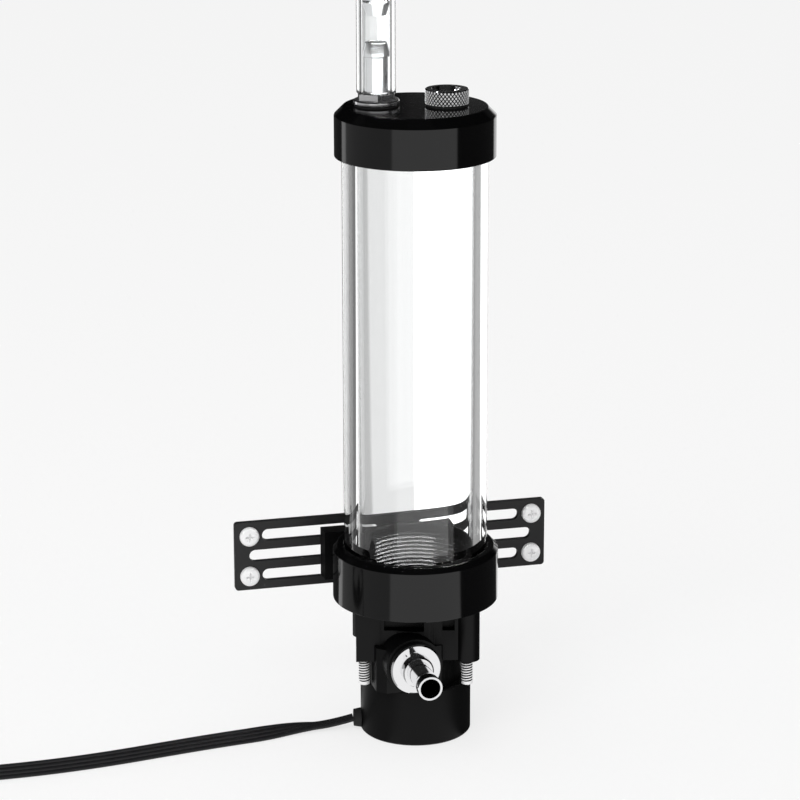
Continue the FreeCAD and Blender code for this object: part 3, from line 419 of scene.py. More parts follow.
# Point attributes of knurled and threaded pieces: depth in the grooves, and 1 all over the knurl or thread.
# The depth sets where the finishes paint shade into the grooves
GROOVE, GROOVED_BAND = "groove", "grooved_band"


def mark_grooves(mesh, axes, radius, depth, foot, top):
    """Store how deep each point of upright round pieces lies in their grooves, where painted shade goes."""
    grooves = mesh.attributes.new(GROOVE, "FLOAT", "POINT")
    bands = mesh.attributes.new(GROOVED_BAND, "FLOAT", "POINT")
    for vert, groove, band in zip(mesh.vertices, grooves.data, bands.data):
        reach = min((vert.co.xy - axis).length for axis in axes)
        band.value = float(foot <= vert.co.z <= top and reach > radius - 1.5 * depth)
        groove.value = band.value * min(1, max(0, (radius - reach) / depth))


def varied(name, colour, shades, haze, rough, grain=None, relief=None, **sockets):
    """A material whose colour and roughness follow a haze.

    shades are its darkest and brightest colour, rough its least roughness and the haze's part, and
    colour its plain preview. A grain with a relief, in depth and strength, gives it a fine bump.
    """
    def build(nodes):
        factor = nodes.noise(*haze)
        sides = {"Roughness": rough[0] + factor * rough[1], "Base Color": nodes.shade(*shades, factor)}
        if grain:
            sides["Normal"] = nodes.bump(nodes.noise(*grain), *relief)
        return sides
    return principled(name, colour, build, **sockets)


def polished_black():
    def build(nodes):
        haze = nodes.noise(0.02, 4, 0.6)
        dust = nodes.noise(0.0012, 2, 0.5).above(0.68, 0.8)
        return {"Roughness": 0.075 + haze * 0.04 + dust * 0.08,
                "Base Color": nodes.shade((0.0012, 0.0012, 0.0013), (0.0026, 0.0026, 0.0028), haze)}
    return principled("Polished black acetal", (0.006, 0.006, 0.0065), build, IOR=1.48)


def satin_black():
    return varied("Satin black acetal", (0.008, 0.008, 0.0085),
                  shades=((0.0015, 0.0015, 0.0016), (0.0035, 0.0035, 0.0037)), haze=(0.012, 3, 0.5),
                  rough=(0.3, 0.12), grain=(0.0005, 2, 0.6), relief=(0.00001, 0.5), Specular_IOR_Level=0.2)


def moulded_black():
    return varied("Moulded black plastic", (0.009, 0.009, 0.0095),
                  shades=((0.002, 0.002, 0.0021), (0.0045, 0.0045, 0.0047)), haze=(0.015, 3, 0.5),
                  rough=(0.36, 0.14), grain=(0.0007, 3, 0.7), relief=(0.00002, 0.5),
                  Specular_IOR_Level=0.14)


def powder_black():
    return varied("Black powder coat", (0.012, 0.012, 0.013),
                  shades=((0.008, 0.008, 0.0085), (0.016, 0.016, 0.017)), haze=(0.02, 3, 0.5),
                  rough=(0.38, 0.12), grain=(0.0009, 2, 0.6), relief=(0.00004, 0.6))


def black_rubber():
    return varied("Black rubber", (0.015, 0.015, 0.015),
                  shades=((0.010, 0.010, 0.010), (0.022, 0.022, 0.022)), haze=(0.0006, 3, 0.6),
                  rough=(0.55, 0.15), grain=(0.0006, 3, 0.6), relief=(0.00002, 0.5))


def lead_jacket(colour):
    return varied("Lead jacket", colour, shades=(colour, tuple(c * 1.7 for c in colour)),
                  haze=(0.004, 3, 0.5), rough=(0.26, 0.14))


def ferrite():
    return varied("Ferrite", (0.06, 0.06, 0.065), shades=((0.04, 0.04, 0.042), (0.09, 0.09, 0.095)),
                  haze=(0.0006, 3, 0.7), rough=(0.5, 0.2))


def chrome():
    return varied("Polished chrome", (0.9, 0.9, 0.91), shades=((0.88, 0.88, 0.89), (0.95, 0.95, 0.96)),
                  haze=(0.006, 3, 0.5), rough=(0.03, 0.04), Metallic=1.0)


def satin_silver():
    return varied("Satin silver", (0.94, 0.94, 0.95), shades=((0.93, 0.93, 0.94), (0.98, 0.98, 0.99)),
                  haze=(0.004, 3, 0.5), rough=(0.2, 0.05), Metallic=1.0)


def copper():
    return varied("Enamelled copper", (0.7, 0.3, 0.15), shades=((0.62, 0.22, 0.1), (0.8, 0.38, 0.2)),
                  haze=(0.0008, 3, 0.6, (0.3, 0.3, 1)), rough=(0.25, 0.15), Metallic=1.0)


def brass():
    return varied("Stamped brass", (0.8, 0.6, 0.28), shades=((0.72, 0.52, 0.22), (0.86, 0.68, 0.34)),
                  haze=(0.001, 3, 0.6), rough=(0.2, 0.15), Metallic=1.0)


def knurled_silver():
    def build(nodes):
        groove, knurl = nodes.stored(GROOVE), nodes.stored(GROOVED_BAND)
        haze = nodes.noise(0.0015, 3, 0.6)
        # Painted shade: the knurl's grooves turn near black with their depth, in place of the shadow inside
        # them
        colour = nodes.shade((0.95, 0.95, 0.96), (0.012, 0.012, 0.012), groove.above(0.15, 0.6))
        return {"Roughness": 0.05 + haze * 0.05 + knurl * 0.15, "Metallic": 1 - knurl * 0.6,
                "Base Color": colour}
    return principled("Knurled silver", (0.87, 0.87, 0.88), build)


def zinc_steel():
    def build(nodes):
        haze = nodes.noise(0.002, 3, 0.6)
        bright = nodes.shade((0.94, 0.94, 0.95), (1.0, 1.0, 1.0), haze)
        # Painted shade: thread grooves turn near black with their depth, in place of the shadow inside them
        colour = nodes.shade(bright, (0.01, 0.01, 0.01), nodes.stored(GROOVE).above(0.05, 0.3))
        return {"Roughness": 0.24 + haze * 0.1, "Base Color": colour}
    return principled("Zinc-plated steel", (0.9, 0.9, 0.91), build, Metallic=0.1)


def clear_acrylic():
    def build(nodes):
        haze = nodes.noise(0.03, 2, 0.5)
        return {"Roughness": haze * 0.012}
    return principled("Clear acrylic", (0.985, 0.99, 0.99), build, IOR=1.49, Transmission_Weight=1.0)


def clear_hose():
    def build(nodes):
        haze = nodes.noise(0.01, 3, 0.5)
        return {"Roughness": 0.03 + haze * 0.06}
    return principled("Soft clear hose", (0.96, 0.97, 0.97), build, IOR=1.40, Transmission_Weight=1.0)


def laminated_steel():
    def build(nodes):
        height = nodes.parts(nodes.place())[2]
        sheets = (height * (2 * math.pi / (0.5 * MM))).sine() * 0.5 + 0.5
        return {"Roughness": 0.35 + sheets * 0.1, "Normal": nodes.bump(sheets, 0.00003, 0.6),
                "Base Color": nodes.shade((0.3, 0.3, 0.32), (0.5, 0.5, 0.52), sheets)}
    return principled("Laminated steel", (0.42, 0.42, 0.44), build, Metallic=1.0)


def circuit_green():
    def build(nodes):
        tracks = nodes.add("TexVoronoi", {"Vector": nodes.place(), "Scale": 420.0}, distance="CHEBYCHEV")
        lines = tracks.above(0.35, 0.45)
        return {"Roughness": 0.3 + lines * 0.15,
                "Base Color": nodes.shade((0.01, 0.09, 0.035), (0.03, 0.2, 0.08), lines)}
    return principled("Circuit board", (0.02, 0.12, 0.05), build)


FINISHES = {}


def finish_of(make, *words):
    """Each finish is made once, the first time that a piece asks for it."""
    if make.__name__ not in FINISHES:
        FINISHES[make.__name__] = make(*words)
    return FINISHES[make.__name__]


# Studio

# Brightness that polished surfaces see, by the angle round the object from the camera's side,
# positive towards the picture's right: start, end and brightness of each band, in degrees.
GLOSS_BANDS = [(-126, -115, 1.3), (-115, -33, 0.36), (-33, 60, 0.9), (60, 145, 0.03), (145, 180, 1.2)]
GLOSS_BEHIND = 0.04
# The same for rays that come through clear pieces
CLEAR_BANDS = [(-165, -150, 0.5), (-150, -100, 0.12), (-100, -33, 0.4), (-33, 60, 0.9), (60, 120, 0.1),
               (120, 150, 0.35), (150, 165, 0.6)]
CLEAR_BEHIND = 0.84
# Half width of the soft edge of a band, in degrees
BAND_EDGE = 1.5
# Heights of a direction between which the studio turns dark, and how dark it turns
CEILING_HEIGHT = (0.04, 0.18)
CEILING_SHADE = 0.98
# A strong light overhead that only edges and grooves behind clear pieces catch: height and angle of its
# ends, half widths of their soft edges, and brightness
OVERHEAD_HEIGHT, OVERHEAD_HEIGHT_EDGE = (0.56, 0.9), 0.02
OVERHEAD_WIDTH, OVERHEAD_WIDTH_EDGE = (-60, 125), 5
OVERHEAD_POWER = 13.0
# Share of the floor's look that is its own glow, which keeps it pale
FLOOR_GLOW = 0.72


def angle_round(nodes, x, y, azimuth):
    """Angle round Z from the camera's side, in degrees."""
    turn = nodes.add("Math", [y, x], operation="ARCTAN2") * (180 / math.pi) - (math.degrees(azimuth) - 90)
    return nodes.add("Math", [turn, 180.0, -180.0], operation="WRAP")


def banded(turn, bands, rest):
    """Brightness by angle."""
    total = rest
    for start, end, bright in bands:
        total = total + turn.within(start, end, BAND_EDGE) * (bright - rest)
    return total


def seen_brightness(nodes, turn):
    """Which rays are glossy and which come through clear pieces, and what each kind sees."""
    gloss = banded(turn, GLOSS_BANDS, GLOSS_BEHIND)
    through = banded(turn, CLEAR_BANDS, CLEAR_BEHIND)
    return nodes.ray("Glossy"), nodes.ray("Transmission"), gloss, through


class RESERVOIR_OT_stage(bpy.types.Operator):
    """Floor, even light, one soft lamp and the camera"""
    bl_idname = "reservoir.stage"
    bl_label = "Stage"

    def execute(self, context):
        studio = context.scene.reservoir_studio
        self.make_world(context, studio)
        self.make_floor(context, studio)
        self.make_lamp(context, studio)
        self.make_camera(context, studio)
        context.scene.view_settings.view_transform = "Standard"
        return {"FINISHED"}

    def make_world(self, context, studio):
        world = bpy.data.worlds.new("Studio")
        context.scene.world = world
        nodes = Nodes(world)
        x, y, z = nodes.parts(nodes.add("TexCoord", output="Generated"))
        turn = angle_round(nodes, x, y, studio.azimuth)
        glossy, clear, gloss, through = seen_brightness(nodes, turn)
        overhead = z.within(*OVERHEAD_HEIGHT, OVERHEAD_HEIGHT_EDGE)
        overhead = overhead * turn.within(*OVERHEAD_WIDTH, OVERHEAD_WIDTH_EDGE)
        dimmed = 1 - z.above(*CEILING_HEIGHT) * CEILING_SHADE
        gloss = gloss * dimmed
        through = through * dimmed + overhead * OVERHEAD_POWER
        camera = nodes.ray("Camera")
        plain = studio.ambient * (1 - camera) + camera
        strength = plain * (1 - glossy) * (1 - clear) + gloss * glossy + through * clear
        nodes.show(nodes.add("Background", {"Color": (1, 1, 1), "Strength": strength}), "World")

    def make_floor(self, context, studio):
        half = studio.floor_size
        material, nodes = new_material("Pale floor")
        x, y, _ = nodes.parts(nodes.place())
        glossy, clear, gloss, through = seen_brightness(nodes, angle_round(nodes, x, y, studio.azimuth))
        bright = gloss * glossy + through * clear + (1 - glossy) * (1 - clear)
        glow = nodes.add("Emission", {"Color": (1, 1, 1), "Strength": bright})
        paint = nodes.add("BsdfDiffuse", {"Color": (0.9, 0.9, 0.9)})
        share = FLOOR_GLOW + (glossy + clear) * (1 - FLOOR_GLOW)
        nodes.show(nodes.add("MixShader", [share, paint, glow]))
        corners = [(-half, -half, 0), (half, -half, 0), (half, half, 0), (-half, half, 0)]
        mesh = bare_mesh("floor", corners, [(0, 1, 2, 3)])
        mesh.materials.append(material)
        floor = bpy.data.objects.new("floor", mesh)
        context.scene.collection.objects.link(floor)
        floor.location.z = -0.05 * MM

    def make_lamp(self, context, studio):
        data = bpy.data.lights.new("Soft lamp", "AREA")
        data.shape = "RECTANGLE"
        data.size = 0.9
        data.size_y = 0.7
        data.energy = studio.key_power
        lamp = bpy.data.objects.new("Soft lamp", data)
        lamp.location = (-0.75, -0.9, 1.15)
        lamp.rotation_euler = (Vector((0, 0, 0.12)) - lamp.location).to_track_quat("-Z", "Y").to_euler()
        lamp.visible_glossy = False
        lamp.visible_transmission = False
        context.scene.collection.objects.link(lamp)

    def make_camera(self, context, studio):
        a, t, r = studio.azimuth, studio.tilt, studio.roll
        ahead = Vector((-math.sin(a) * math.cos(t), math.cos(a) * math.cos(t), -math.sin(t)))
        right = Vector((math.cos(a), math.sin(a), 0))
        up = right.cross(ahead)
        across = right * math.cos(r) + up * math.sin(r)
        upright = up * math.cos(r) - right * math.sin(r)
        data = bpy.data.cameras.new("Camera")
        data.lens = studio.lens
        data.sensor_width = 36
        data.clip_start = 0.01
        camera = bpy.data.objects.new("Camera", data)
        turn = Matrix((across, upright, -ahead)).transposed()
        spot = Vector(studio.target) - ahead * studio.distance
        camera.matrix_world = Matrix.Translation(spot) @ turn.to_4x4()
        context.scene.collection.objects.link(camera)
        context.scene.camera = camera


# Lead: the same route as the solid one, in metres, then the coil's turns and the tail
LEAD_ROUTE = [
    (-0.02203, 0.00349, 0.0038), (-0.0307, 0.00485, 0.0014), (-0.042, 0.0044, 0.0017),
    (-0.056, -0.0004, 0.0026), (-0.072, -0.0023, 0.0026), (-0.090, -0.0052, 0.0026),
    (-0.110, -0.0087, 0.0026), (-0.131, -0.0109, 0.0026), (-0.1525, -0.0116, 0.0028),
    (-0.174, -0.0112, 0.0031),
]
TAIL_ROUTE = [
    (-0.1765, 0.0456, 0.0031), (-0.1704, 0.0372, 0.003), (-0.1697, 0.0269, 0.0029),
    (-0.1745, 0.0178, 0.0029),
]
COIL_CENTRE = Vector((-0.188, 0.0214, 0.0031))
# The ribbon lies flat at its ends and leans between them: its lean, the length that lies flat at the
# motor, and the lengths over which it turns at the motor and at the connector
LEAN = math.radians(74)
FLAT_LENGTH, FIRST_TURN, LAST_TURN = 0.014, 0.026, 0.025
# Radius of a wire as a share of its width, so that neighbours touch
WIRE_SHARE = 0.54


class RESERVOIR_OT_lead(bpy.types.Operator):
    """The flat four-wire lead, its coil, strap, grommet and connector"""
    bl_idname = "reservoir.lead"
    bl_label = "Lead"

    def execute(self, context):
        lead = context.scene.reservoir_lead
        route = LEAD_ROUTE + self.coil(lead) + TAIL_ROUTE
        line = route_line([Vector(p) for p in route])
        verts, faces = [], []
        run = [0.0]
        for a, b in zip(line, line[1:]):
            run.append(run[-1] + (b - a).length)
        total = run[-1]

        def lean(i):
            start = min(1, max(0, (run[i] - FLAT_LENGTH) / FIRST_TURN))
            end = min(1, max(0, (total - run[i]) / LAST_TURN))
            return LEAN * min(start, end)

        for wire in range(lead.wires):
            step = (wire - (lead.wires - 1) / 2) * lead.wire_width

            def shift(i, side, up, step=step):
                return (side * math.cos(lean(i)) + up * math.sin(lean(i))) * step

            wire_verts, wire_faces = swept(line, lead.wire_width * WIRE_SHARE, 12, shift)
            base = len(verts)
            verts += wire_verts
            faces += [tuple(base + v for v in face) for face in wire_faces]
        ribbon = dress("pump_lead", bare_mesh("pump_lead", verts, faces),
                       finish_of(lead_jacket, tuple(lead.colour)), PUMP,
                       ("pump_cable", "cable_tail", "cable_coil"), sharp=60)
        plain = {"cable_grommet": black_rubber, "cable_tie": moulded_black,
                 "cable_connector": moulded_black, "connector_contacts": brass}
        for node, make in plain.items():
            paint_node(node, finish_of(make))
        return {"FINISHED"}

    def coil(self, lead):
        """Route points of the coil, clockwise from its front, from the outer turn to the inner one."""
        steps = round(lead.coil_turns * lead.coil_points)
        width = lead.wires * lead.wire_width
        points = []
        for k in range(steps + 1):
            share = k / steps
            turn = -math.pi / 2 - share * lead.coil_turns * 2 * math.pi
            radius = lead.coil_middle + width * (0.5 - share)
            points.append(tuple(COIL_CENTRE + Vector((math.cos(turn), math.sin(turn), 0)) * radius))
        return points


def paint_node(node, material):
    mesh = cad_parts[node].data
    mesh.materials.clear()
    mesh.materials.append(material)


# Pieces that nothing from outside shows keep their own shape and get a finish
INNER_FINISHES = {
    "motor_base_cover": moulded_black, "control_board": circuit_green, "stator_core": laminated_steel,
    "stator_coils": copper, "rotor_can": moulded_black, "can_gasket": black_rubber,
    "pump_shaft": zinc_steel, "rotor_bush": moulded_black, "rotor_magnet": ferrite,
    "impeller": satin_black, "head_seal": black_rubber, "bottom_tube_seal": black_rubber,
    "top_tube_seal": black_rubber, "hose_fitting_washer": black_rubber, "fill_plug_seal": black_rubber,
    "outlet_washer": black_rubber, "cap_screws": zinc_steel,
}

# Pieces whose own shape is eased: finish, bevel in millimetres and body
EASED_PIECES = {
    "motor_housing": (moulded_black, 0.25, PUMP), "pump_head": (satin_black, 0.25, PUMP),
    "reservoir_tube": (clear_acrylic, 0.15, PUMP), "return_hose": (clear_hose, 0.12, PUMP),
    "hose_coupler": (satin_silver, 0.08, PUMP), "outlet_fitting": (chrome, 0.08, PUMP),
    "mount_block": (satin_black, 0.3, PUMP), "bracket_plate": (powder_black, 0.3, "bracket"),
    "clamp_screws": (zinc_steel, 0.12, PUMP), "clamp_washers": (zinc_steel, 0.1, PUMP),
}


class RESERVOIR_OT_inner(bpy.types.Operator):
    """Finishes of the pieces inside, which keep their own shape"""
    bl_idname = "reservoir.inner"
    bl_label = "Inner pieces"

    def execute(self, context):
        for node, make in INNER_FINISHES.items():
            paint_node(node, finish_of(make))
        return {"FINISHED"}


class RESERVOIR_OT_eased(bpy.types.Operator):
    """Housing, head, tube, hose, fittings and bracket with eased edges"""
    bl_idname = "reservoir.eased"
    bl_label = "Eased pieces"

    def execute(self, context):
        for node, (make, bevel, body) in EASED_PIECES.items():
            softened_copy(node, finish_of(make), bevel * MM, body)
        return {"FINISHED"}


def cylinder(x, y, radius, foot, top):
    """Points and faces of an upright cylinder."""
    sides = 96
    turns = [2 * math.pi * k / sides for k in range(sides)]
    ring = [(x + radius * math.cos(turn), y + radius * math.sin(turn)) for turn in turns]
    verts = [Vector((*spot, z)) for z in (foot, top) for spot in ring]
    faces = [tuple(range(sides))[::-1], tuple(range(sides, 2 * sides))]
    faces += [(k, (k + 1) % sides, sides + (k + 1) % sides, sides + k) for k in range(sides)]
    return verts, faces


class CapSettings(bpy.types.PropertyGroup):
    top_bevel: length("Top bevel", "Bevel round the top cap", 3.0)
    port: length("Port", "Radius of the ports in the top cap", 6.58)
    bevel: length("Bevel", "Bevel round the bottom cap", 1.7)
    tube_gap: length("Groove", "Inner radius of the bore above the tube's foot", 25.15)
    tube_seat: length("Seat", "Depth of the tube's foot", 8.4)
    spigot: length("Spigot", "Outer radius of the ring in the tube", 19.85)
    bore: length("Bore", "Inner radius of that ring", 17.85)
    spigot_rise: length("Rise", "Height of that ring", 6.5)
    floor: length("Floor", "Thickness of the cap's floor", 4.6)
    eye: length("Eye", "Radius of the way down", 5.0)
    grooves: count("Grooves", "Grooves round the bore", 8, least=0)
    groove_depth: length("Groove depth", "Depth of each groove", 0.55)


# Radius of the arc that eases a cap's edges, and how far a cutter stands out past what it cuts
CAP_EASE = 0.3 * MM
CUT_OVER = 1 * MM


class RESERVOIR_OT_top_cap(bpy.types.Operator):
    """Top cap, with its two ports"""
    bl_idname = "reservoir.top_cap"
    bl_label = "Top cap"

    def execute(self, context):
        cap = context.scene.reservoir_cap
        foot, top = low("top_cap").z, high("top_cap").z
        outside = radius_of("top_cap")
        tube_top = foot + cap.tube_seat
        spigot_foot = tube_top - cap.spigot_rise
        outline = [
            (0, tube_top), (cap.bore, tube_top), (cap.bore, spigot_foot), (cap.spigot, spigot_foot),
            (cap.spigot, tube_top), (cap.tube_gap, tube_top), (cap.tube_gap, foot), (outside, foot),
            (outside, top - cap.top_bevel), (outside - cap.top_bevel, top), (0, top),
        ]
        body = lathe_mesh("top_cap_body", rounded(outline, CAP_EASE), 192)
        ports = [cylinder(middle(node).x, middle(node).y, cap.port, spigot_foot - CUT_OVER, top + CUT_OVER)
                 for node in ("hose_fitting", "fill_plug")]
        mesh = cut_out(body, joined(ports, "ports"), "top_cap_body")
        flat_shaded(dress("top_cap_shell", mesh, finish_of(polished_black), PUMP,
                          ("top_cap",)))
        return {"FINISHED"}


class RESERVOIR_OT_bottom_cap(bpy.types.Operator):
    """Bottom cap, with the grooves of its bore that show through the tube"""
    bl_idname = "reservoir.bottom_cap"
    bl_label = "Bottom cap"

    def execute(self, context):
        cap = context.scene.reservoir_cap
        foot, top = low("bottom_cap").z, high("bottom_cap").z
        outside = radius_of("bottom_cap")
        seat = top - cap.tube_seat
        spigot_top = seat + cap.spigot_rise
        floor = foot + cap.floor
        plain_foot, plain_top = 0.2 * MM, 0.8 * MM
        pitch = (spigot_top - floor - plain_foot - plain_top) / max(1, cap.grooves)
        groove = cap.bore + cap.groove_depth
        bore_points = []
        for i in range(cap.grooves):
            start = spigot_top - plain_top - i * pitch
            bore_points += [(cap.bore, start), (groove, start - 0.1 * pitch),
                            (groove, start - 0.3 * pitch), (cap.bore, start - 0.7 * pitch)]
        outline = [
            (cap.eye, foot), (outside, foot), (outside, top - cap.bevel), (outside - cap.bevel, top),
            (cap.tube_gap, top), (cap.tube_gap, seat), (cap.spigot, seat), (cap.spigot, spigot_top),
            (cap.bore, spigot_top), *bore_points, (cap.bore, floor), (cap.eye, floor),
        ]
        mesh = lathe_mesh("bottom_cap_shell", rounded(outline, CAP_EASE), 160)
        flat_shaded(dress("bottom_cap_shell", mesh, finish_of(polished_black), PUMP,
                          ("bottom_cap",)))
        return {"FINISHED"}


class HoseSettings(bpy.types.PropertyGroup):
    thread: length("Thread", "Radius of the fitting's thread", 6.43)
    thread_length: length("Length", "From the fitting's seat to its end", 5.6)
    deck: length("Flange", "Thickness of the flange", 1.6)
    hexagon: length("Hexagon", "Width across its flats", 12.0)
    hexagon_rise: length("Rise", "Height of the hexagon", 2.4)
    hexagon_turn: angle("Turn", "Angle of a corner of the hexagon", 20)
    stem: length("Stem", "Radius of the stem in the hose", 4.0)
    barb: length("Barb", "Radius of the barb on the stem", 4.5)
    barb_reach: length("Barb length", "From the stem's end to the barb's foot", 4.9)
    bore: length("Bore", "Radius of the way through", 3.0)


class RESERVOIR_OT_hose_fitting(bpy.types.Operator):
    """Hose fitting: thread, flange, hexagon and a stem with one barb"""
    bl_idname = "reservoir.hose_fitting"
    bl_label = "Hose fitting"

    def execute(self, context):
        kit = context.scene.reservoir_hose
        foot, top = low("hose_fitting").z, high("hose_fitting").z
        flange, centre = radius_of("hose_fitting"), middle("hose_fitting")
        seat = foot + kit.thread_length
        deck, barb_foot = seat + kit.deck, top - kit.barb_reach
        lead_in, edge, tip, ease = 0.5 * MM, 0.3 * MM, 0.25 * MM, 0.15 * MM
        outline = [
            (kit.bore, foot), (kit.thread - lead_in, foot), (kit.thread, foot + lead_in),
            (kit.thread, seat), (flange, seat), (flange, deck - edge), (flange - edge, deck), (kit.stem, deck),
            (kit.stem, barb_foot), (kit.barb, barb_foot + edge), (kit.barb, top - 0.65 * kit.barb_reach),
            (kit.stem - tip, top), (kit.bore, top),
        ]
        place = Matrix.Translation((centre.x, centre.y, 0))
        mesh = lathe_mesh("hose_fitting_shell", rounded(outline, ease), 128, place)
        flat_shaded(dress("hose_fitting_shell", mesh, finish_of(satin_silver), PUMP,
                          ("hose_fitting",)))
        corner, inside = kit.hexagon / math.sqrt(3), kit.stem - 0.1 * MM
        hexagon_top = deck + kit.hexagon_rise
        rings = [(corner - tip, deck), (corner, deck), (corner, hexagon_top - tip),
                 (corner - tip, hexagon_top), (inside, hexagon_top), (inside, deck)]
        turned = place @ Matrix.Rotation(kit.hexagon_turn, 4, "Z")
        mesh = lathe_mesh("hose_fitting_hexagon", rings, 6, turned)
        dress("hose_fitting_hexagon", mesh, finish_of(satin_silver), PUMP)
        return {"FINISHED"}


class PlugSettings(bpy.types.PropertyGroup):
    diamonds: count("Diamonds", "Diamonds round the knurl", 36, least=8)
    slant: FloatProperty(name="Slant", description="Width of a diamond over its height", default=0.8,
                         min=0.1)
    depth: length("Depth", "Depth of the knurl", 0.4)
    rim: length("Rim", "Plain band above and below", 0.35)
    recess: length("Recess", "Radius of the hollow top", 5.2)
    recess_depth: length("Hollow", "Depth of the hollow top", 1.2)
    thread: length("Thread", "Radius of the thread", 6.43)
    thread_pitch: length("Pitch", "Pitch of the thread", 1.337)
    thread_length: length("Length", "From the seat to the end", 5.6)


def saw(turns):
    """A wave of a whole number of turns that falls from 1 to 0 and climbs back."""
    return abs(2 * (turns % 1) - 1)


class RESERVOIR_OT_fill_plug(bpy.types.Operator):
    """Fill plug with a diamond knurl, a hollow top and a thread"""
    bl_idname = "reservoir.fill_plug"
    bl_label = "Fill plug"

    def execute(self, context):
        plug = context.scene.reservoir_plug
        centre = middle("fill_plug")
        outside = radius_of("fill_plug")
        foot, top = low("fill_plug").z, high("fill_plug").z
        seat = foot + plug.thread_length
        thread_rows, thread_depth, lead_in = 40, 0.6 * MM, 0.3 * MM
        knurl_rows, diamond_columns, flat_share, slope_share = 36, 12, 0.55, 0.35
        edge_in, edge_down = 0.3 * MM, 0.25 * MM
        low_edge, high_edge = seat + plug.rim, top - plug.rim
        rows = [(0, foot), (plug.thread - thread_depth, foot)]
        thread_run = plug.thread_length - 2 * lead_in
        for i in range(1, thread_rows):
            rows.append((plug.thread, foot + lead_in + thread_run * i / thread_rows))
        rows += [(plug.thread, seat), (outside - edge_in, seat), (outside, seat + edge_down)]
        for i in range(knurl_rows + 1):
            rows.append((outside, low_edge + (high_edge - low_edge) * i / knurl_rows))
        rows += [(outside, top - edge_down), (outside - edge_in, top), (plug.recess, top),
                 (plug.recess - 0.15 * MM, top - 0.15 * MM),
                 (plug.recess - 0.4 * MM, top - plug.recess_depth), (0, top - plug.recess_depth)]

        def wave(turn, point):
            r, z = point
            if abs(r - outside) < MERGE and low_edge <= z <= high_edge:
                climb = (z - low_edge) * plug.diamonds * plug.slant / (2 * math.pi * outside)
                ridge = max(saw(turn * plug.diamonds + way * climb) for way in (-1, 1))
                return 1 - plug.depth * min(1, max(0, (ridge - flat_share) / slope_share)) / outside
            if abs(r - plug.thread) < MERGE and foot < z < seat - 0.4 * MM:
                return 1 - thread_depth * saw((z - foot) / plug.thread_pitch - turn) / plug.thread
            return 1

        mesh = lathe_mesh("fill_plug_shell", rows, diamond_columns * plug.diamonds,
                          Matrix.Translation((centre.x, centre.y, 0)), wave)
        mark_grooves(mesh, [centre.xy], outside, plug.depth, low_edge, high_edge)
        dress("fill_plug_shell", mesh, finish_of(knurled_silver), "plug",
              ("fill_plug",), 25)
        return {"FINISHED"}


class FastenerSettings(bpy.types.PropertyGroup):
    stud_pitch: length("Stud pitch", "Pitch of the studs", 0.95)
    stud_depth: length("Stud thread", "Depth of the studs' thread", 0.36)
    stud_collar: length("Stud collar", "Plain length at the foot of each stud", 1.3)
    thread_run: length("Thread run", "Height of the thread's top over the foot of each stud", 10.5)
    screw_pitch: length("Screw pitch", "Pitch of the bracket's screws", 0.6)
    screw_waist: length("Screw waist", "Radius of a bracket screw under its head", 1.2)
    screw_neck: length("Screw neck", "Length of that waist", 2.3)
    cross_width: length("Cross width", "Width of a screw's cross", 0.7)
    cross_reach: length("Cross reach", "Half length of a screw's cross", 1.7)
    cross_depth: length("Cross depth", "Depth of a screw's cross", 1.1)


def solid_places(node):
    """Boxes of the separate solids of a node, as (low, high) pairs, from -X to +X."""
    work = welded(node)
    left, boxes = set(work.verts), []
    while left:
        stack, island = [left.pop()], []
        while stack:
            vert = stack.pop()
            island.append(vert.co.copy())
            for edge in vert.link_edges:
                other = edge.other_vert(vert)
                if other in left:
                    left.remove(other)
                    stack.append(other)
        boxes.append(tuple(Vector([pick(p[i] for p in island) for i in range(3)]) for pick in (min, max)))
    work.free()
    return sorted(boxes, key=lambda box: tuple(box[0]))


def threaded_rod(radius, collar, top, run, pitch, depth):
    """A rod that stands on height 0, with a plain collar at its foot and a thread above it."""
    rows_per_turn, crest_share = 10, 0.35
    steps = int(run / pitch * rows_per_turn)
    rows = [(0, 0), (radius * 0.8, 0), (radius * 0.98, 0.3 * MM)]
    rows += [(radius, collar + (run - collar) * i / steps) for i in range(steps + 1)]
    rows += [(radius, top), (0, top)]

    def wave(turn, point):
        r, z = point
        if abs(r - radius) > TINY or not collar - TINY < z < run - TINY:
            return 1
        slope = saw(z / pitch - turn)
        return 1 - depth * max(0, slope - crest_share) / (1 - crest_share) / radius

    return lathe_mesh("rod", rows, 48, None, wave)


class RESERVOIR_OT_studs(bpy.types.Operator):
    """The four threaded studs under the pump head"""
    bl_idname = "reservoir.studs"
    bl_label = "Studs"

    def execute(self, context):
        kit = context.scene.reservoir_fasteners
        parts, axes = [], []
        for start, end in solid_places("head_studs"):
            foot, radius = start.z, (end.x - start.x) / 2
            rod = threaded_rod(radius, kit.stud_collar, end.z - foot, kit.thread_run, kit.stud_pitch,
                               kit.stud_depth)
            spot = Vector(((start.x + end.x) / 2, (start.y + end.y) / 2, foot))
            axes.append(spot.xy)
            parts.append(moved(rod, Matrix.Translation(spot)))
        mesh = joined(parts, "head_studs_shell")
        mark_grooves(mesh, axes, radius, kit.stud_depth, foot + kit.stud_collar, foot + kit.thread_run)
        dress("head_studs_shell", mesh, finish_of(zinc_steel), PUMP,
              ("head_studs",), 40)
        return {"FINISHED"}


def cross_cutter(width, reach, depth, height):
    """Points and faces of a cross that narrows downwards, with its top at a height."""
    w, r = width / 2, reach
    corners = [(w, w), (w, r), (-w, r), (-w, w), (-r, w), (-r, -w), (-w, -w), (-w, -r), (w, -r), (w, -w),
               (r, -w), (r, w)]
    layers = ((1, height + CUT_OVER), (1, height), (0.5, height - depth))
    verts = [Vector((x * share, y * share, z)) for share, z in layers for x, y in corners]
    faces = [tuple(range(12))[::-1], tuple(range(24, 36))]
    for base in (0, 12):
        for k in range(12):
            n = (k + 1) % 12
            faces.append((base + k, base + n, base + 12 + n, base + 12 + k))
    return verts, faces


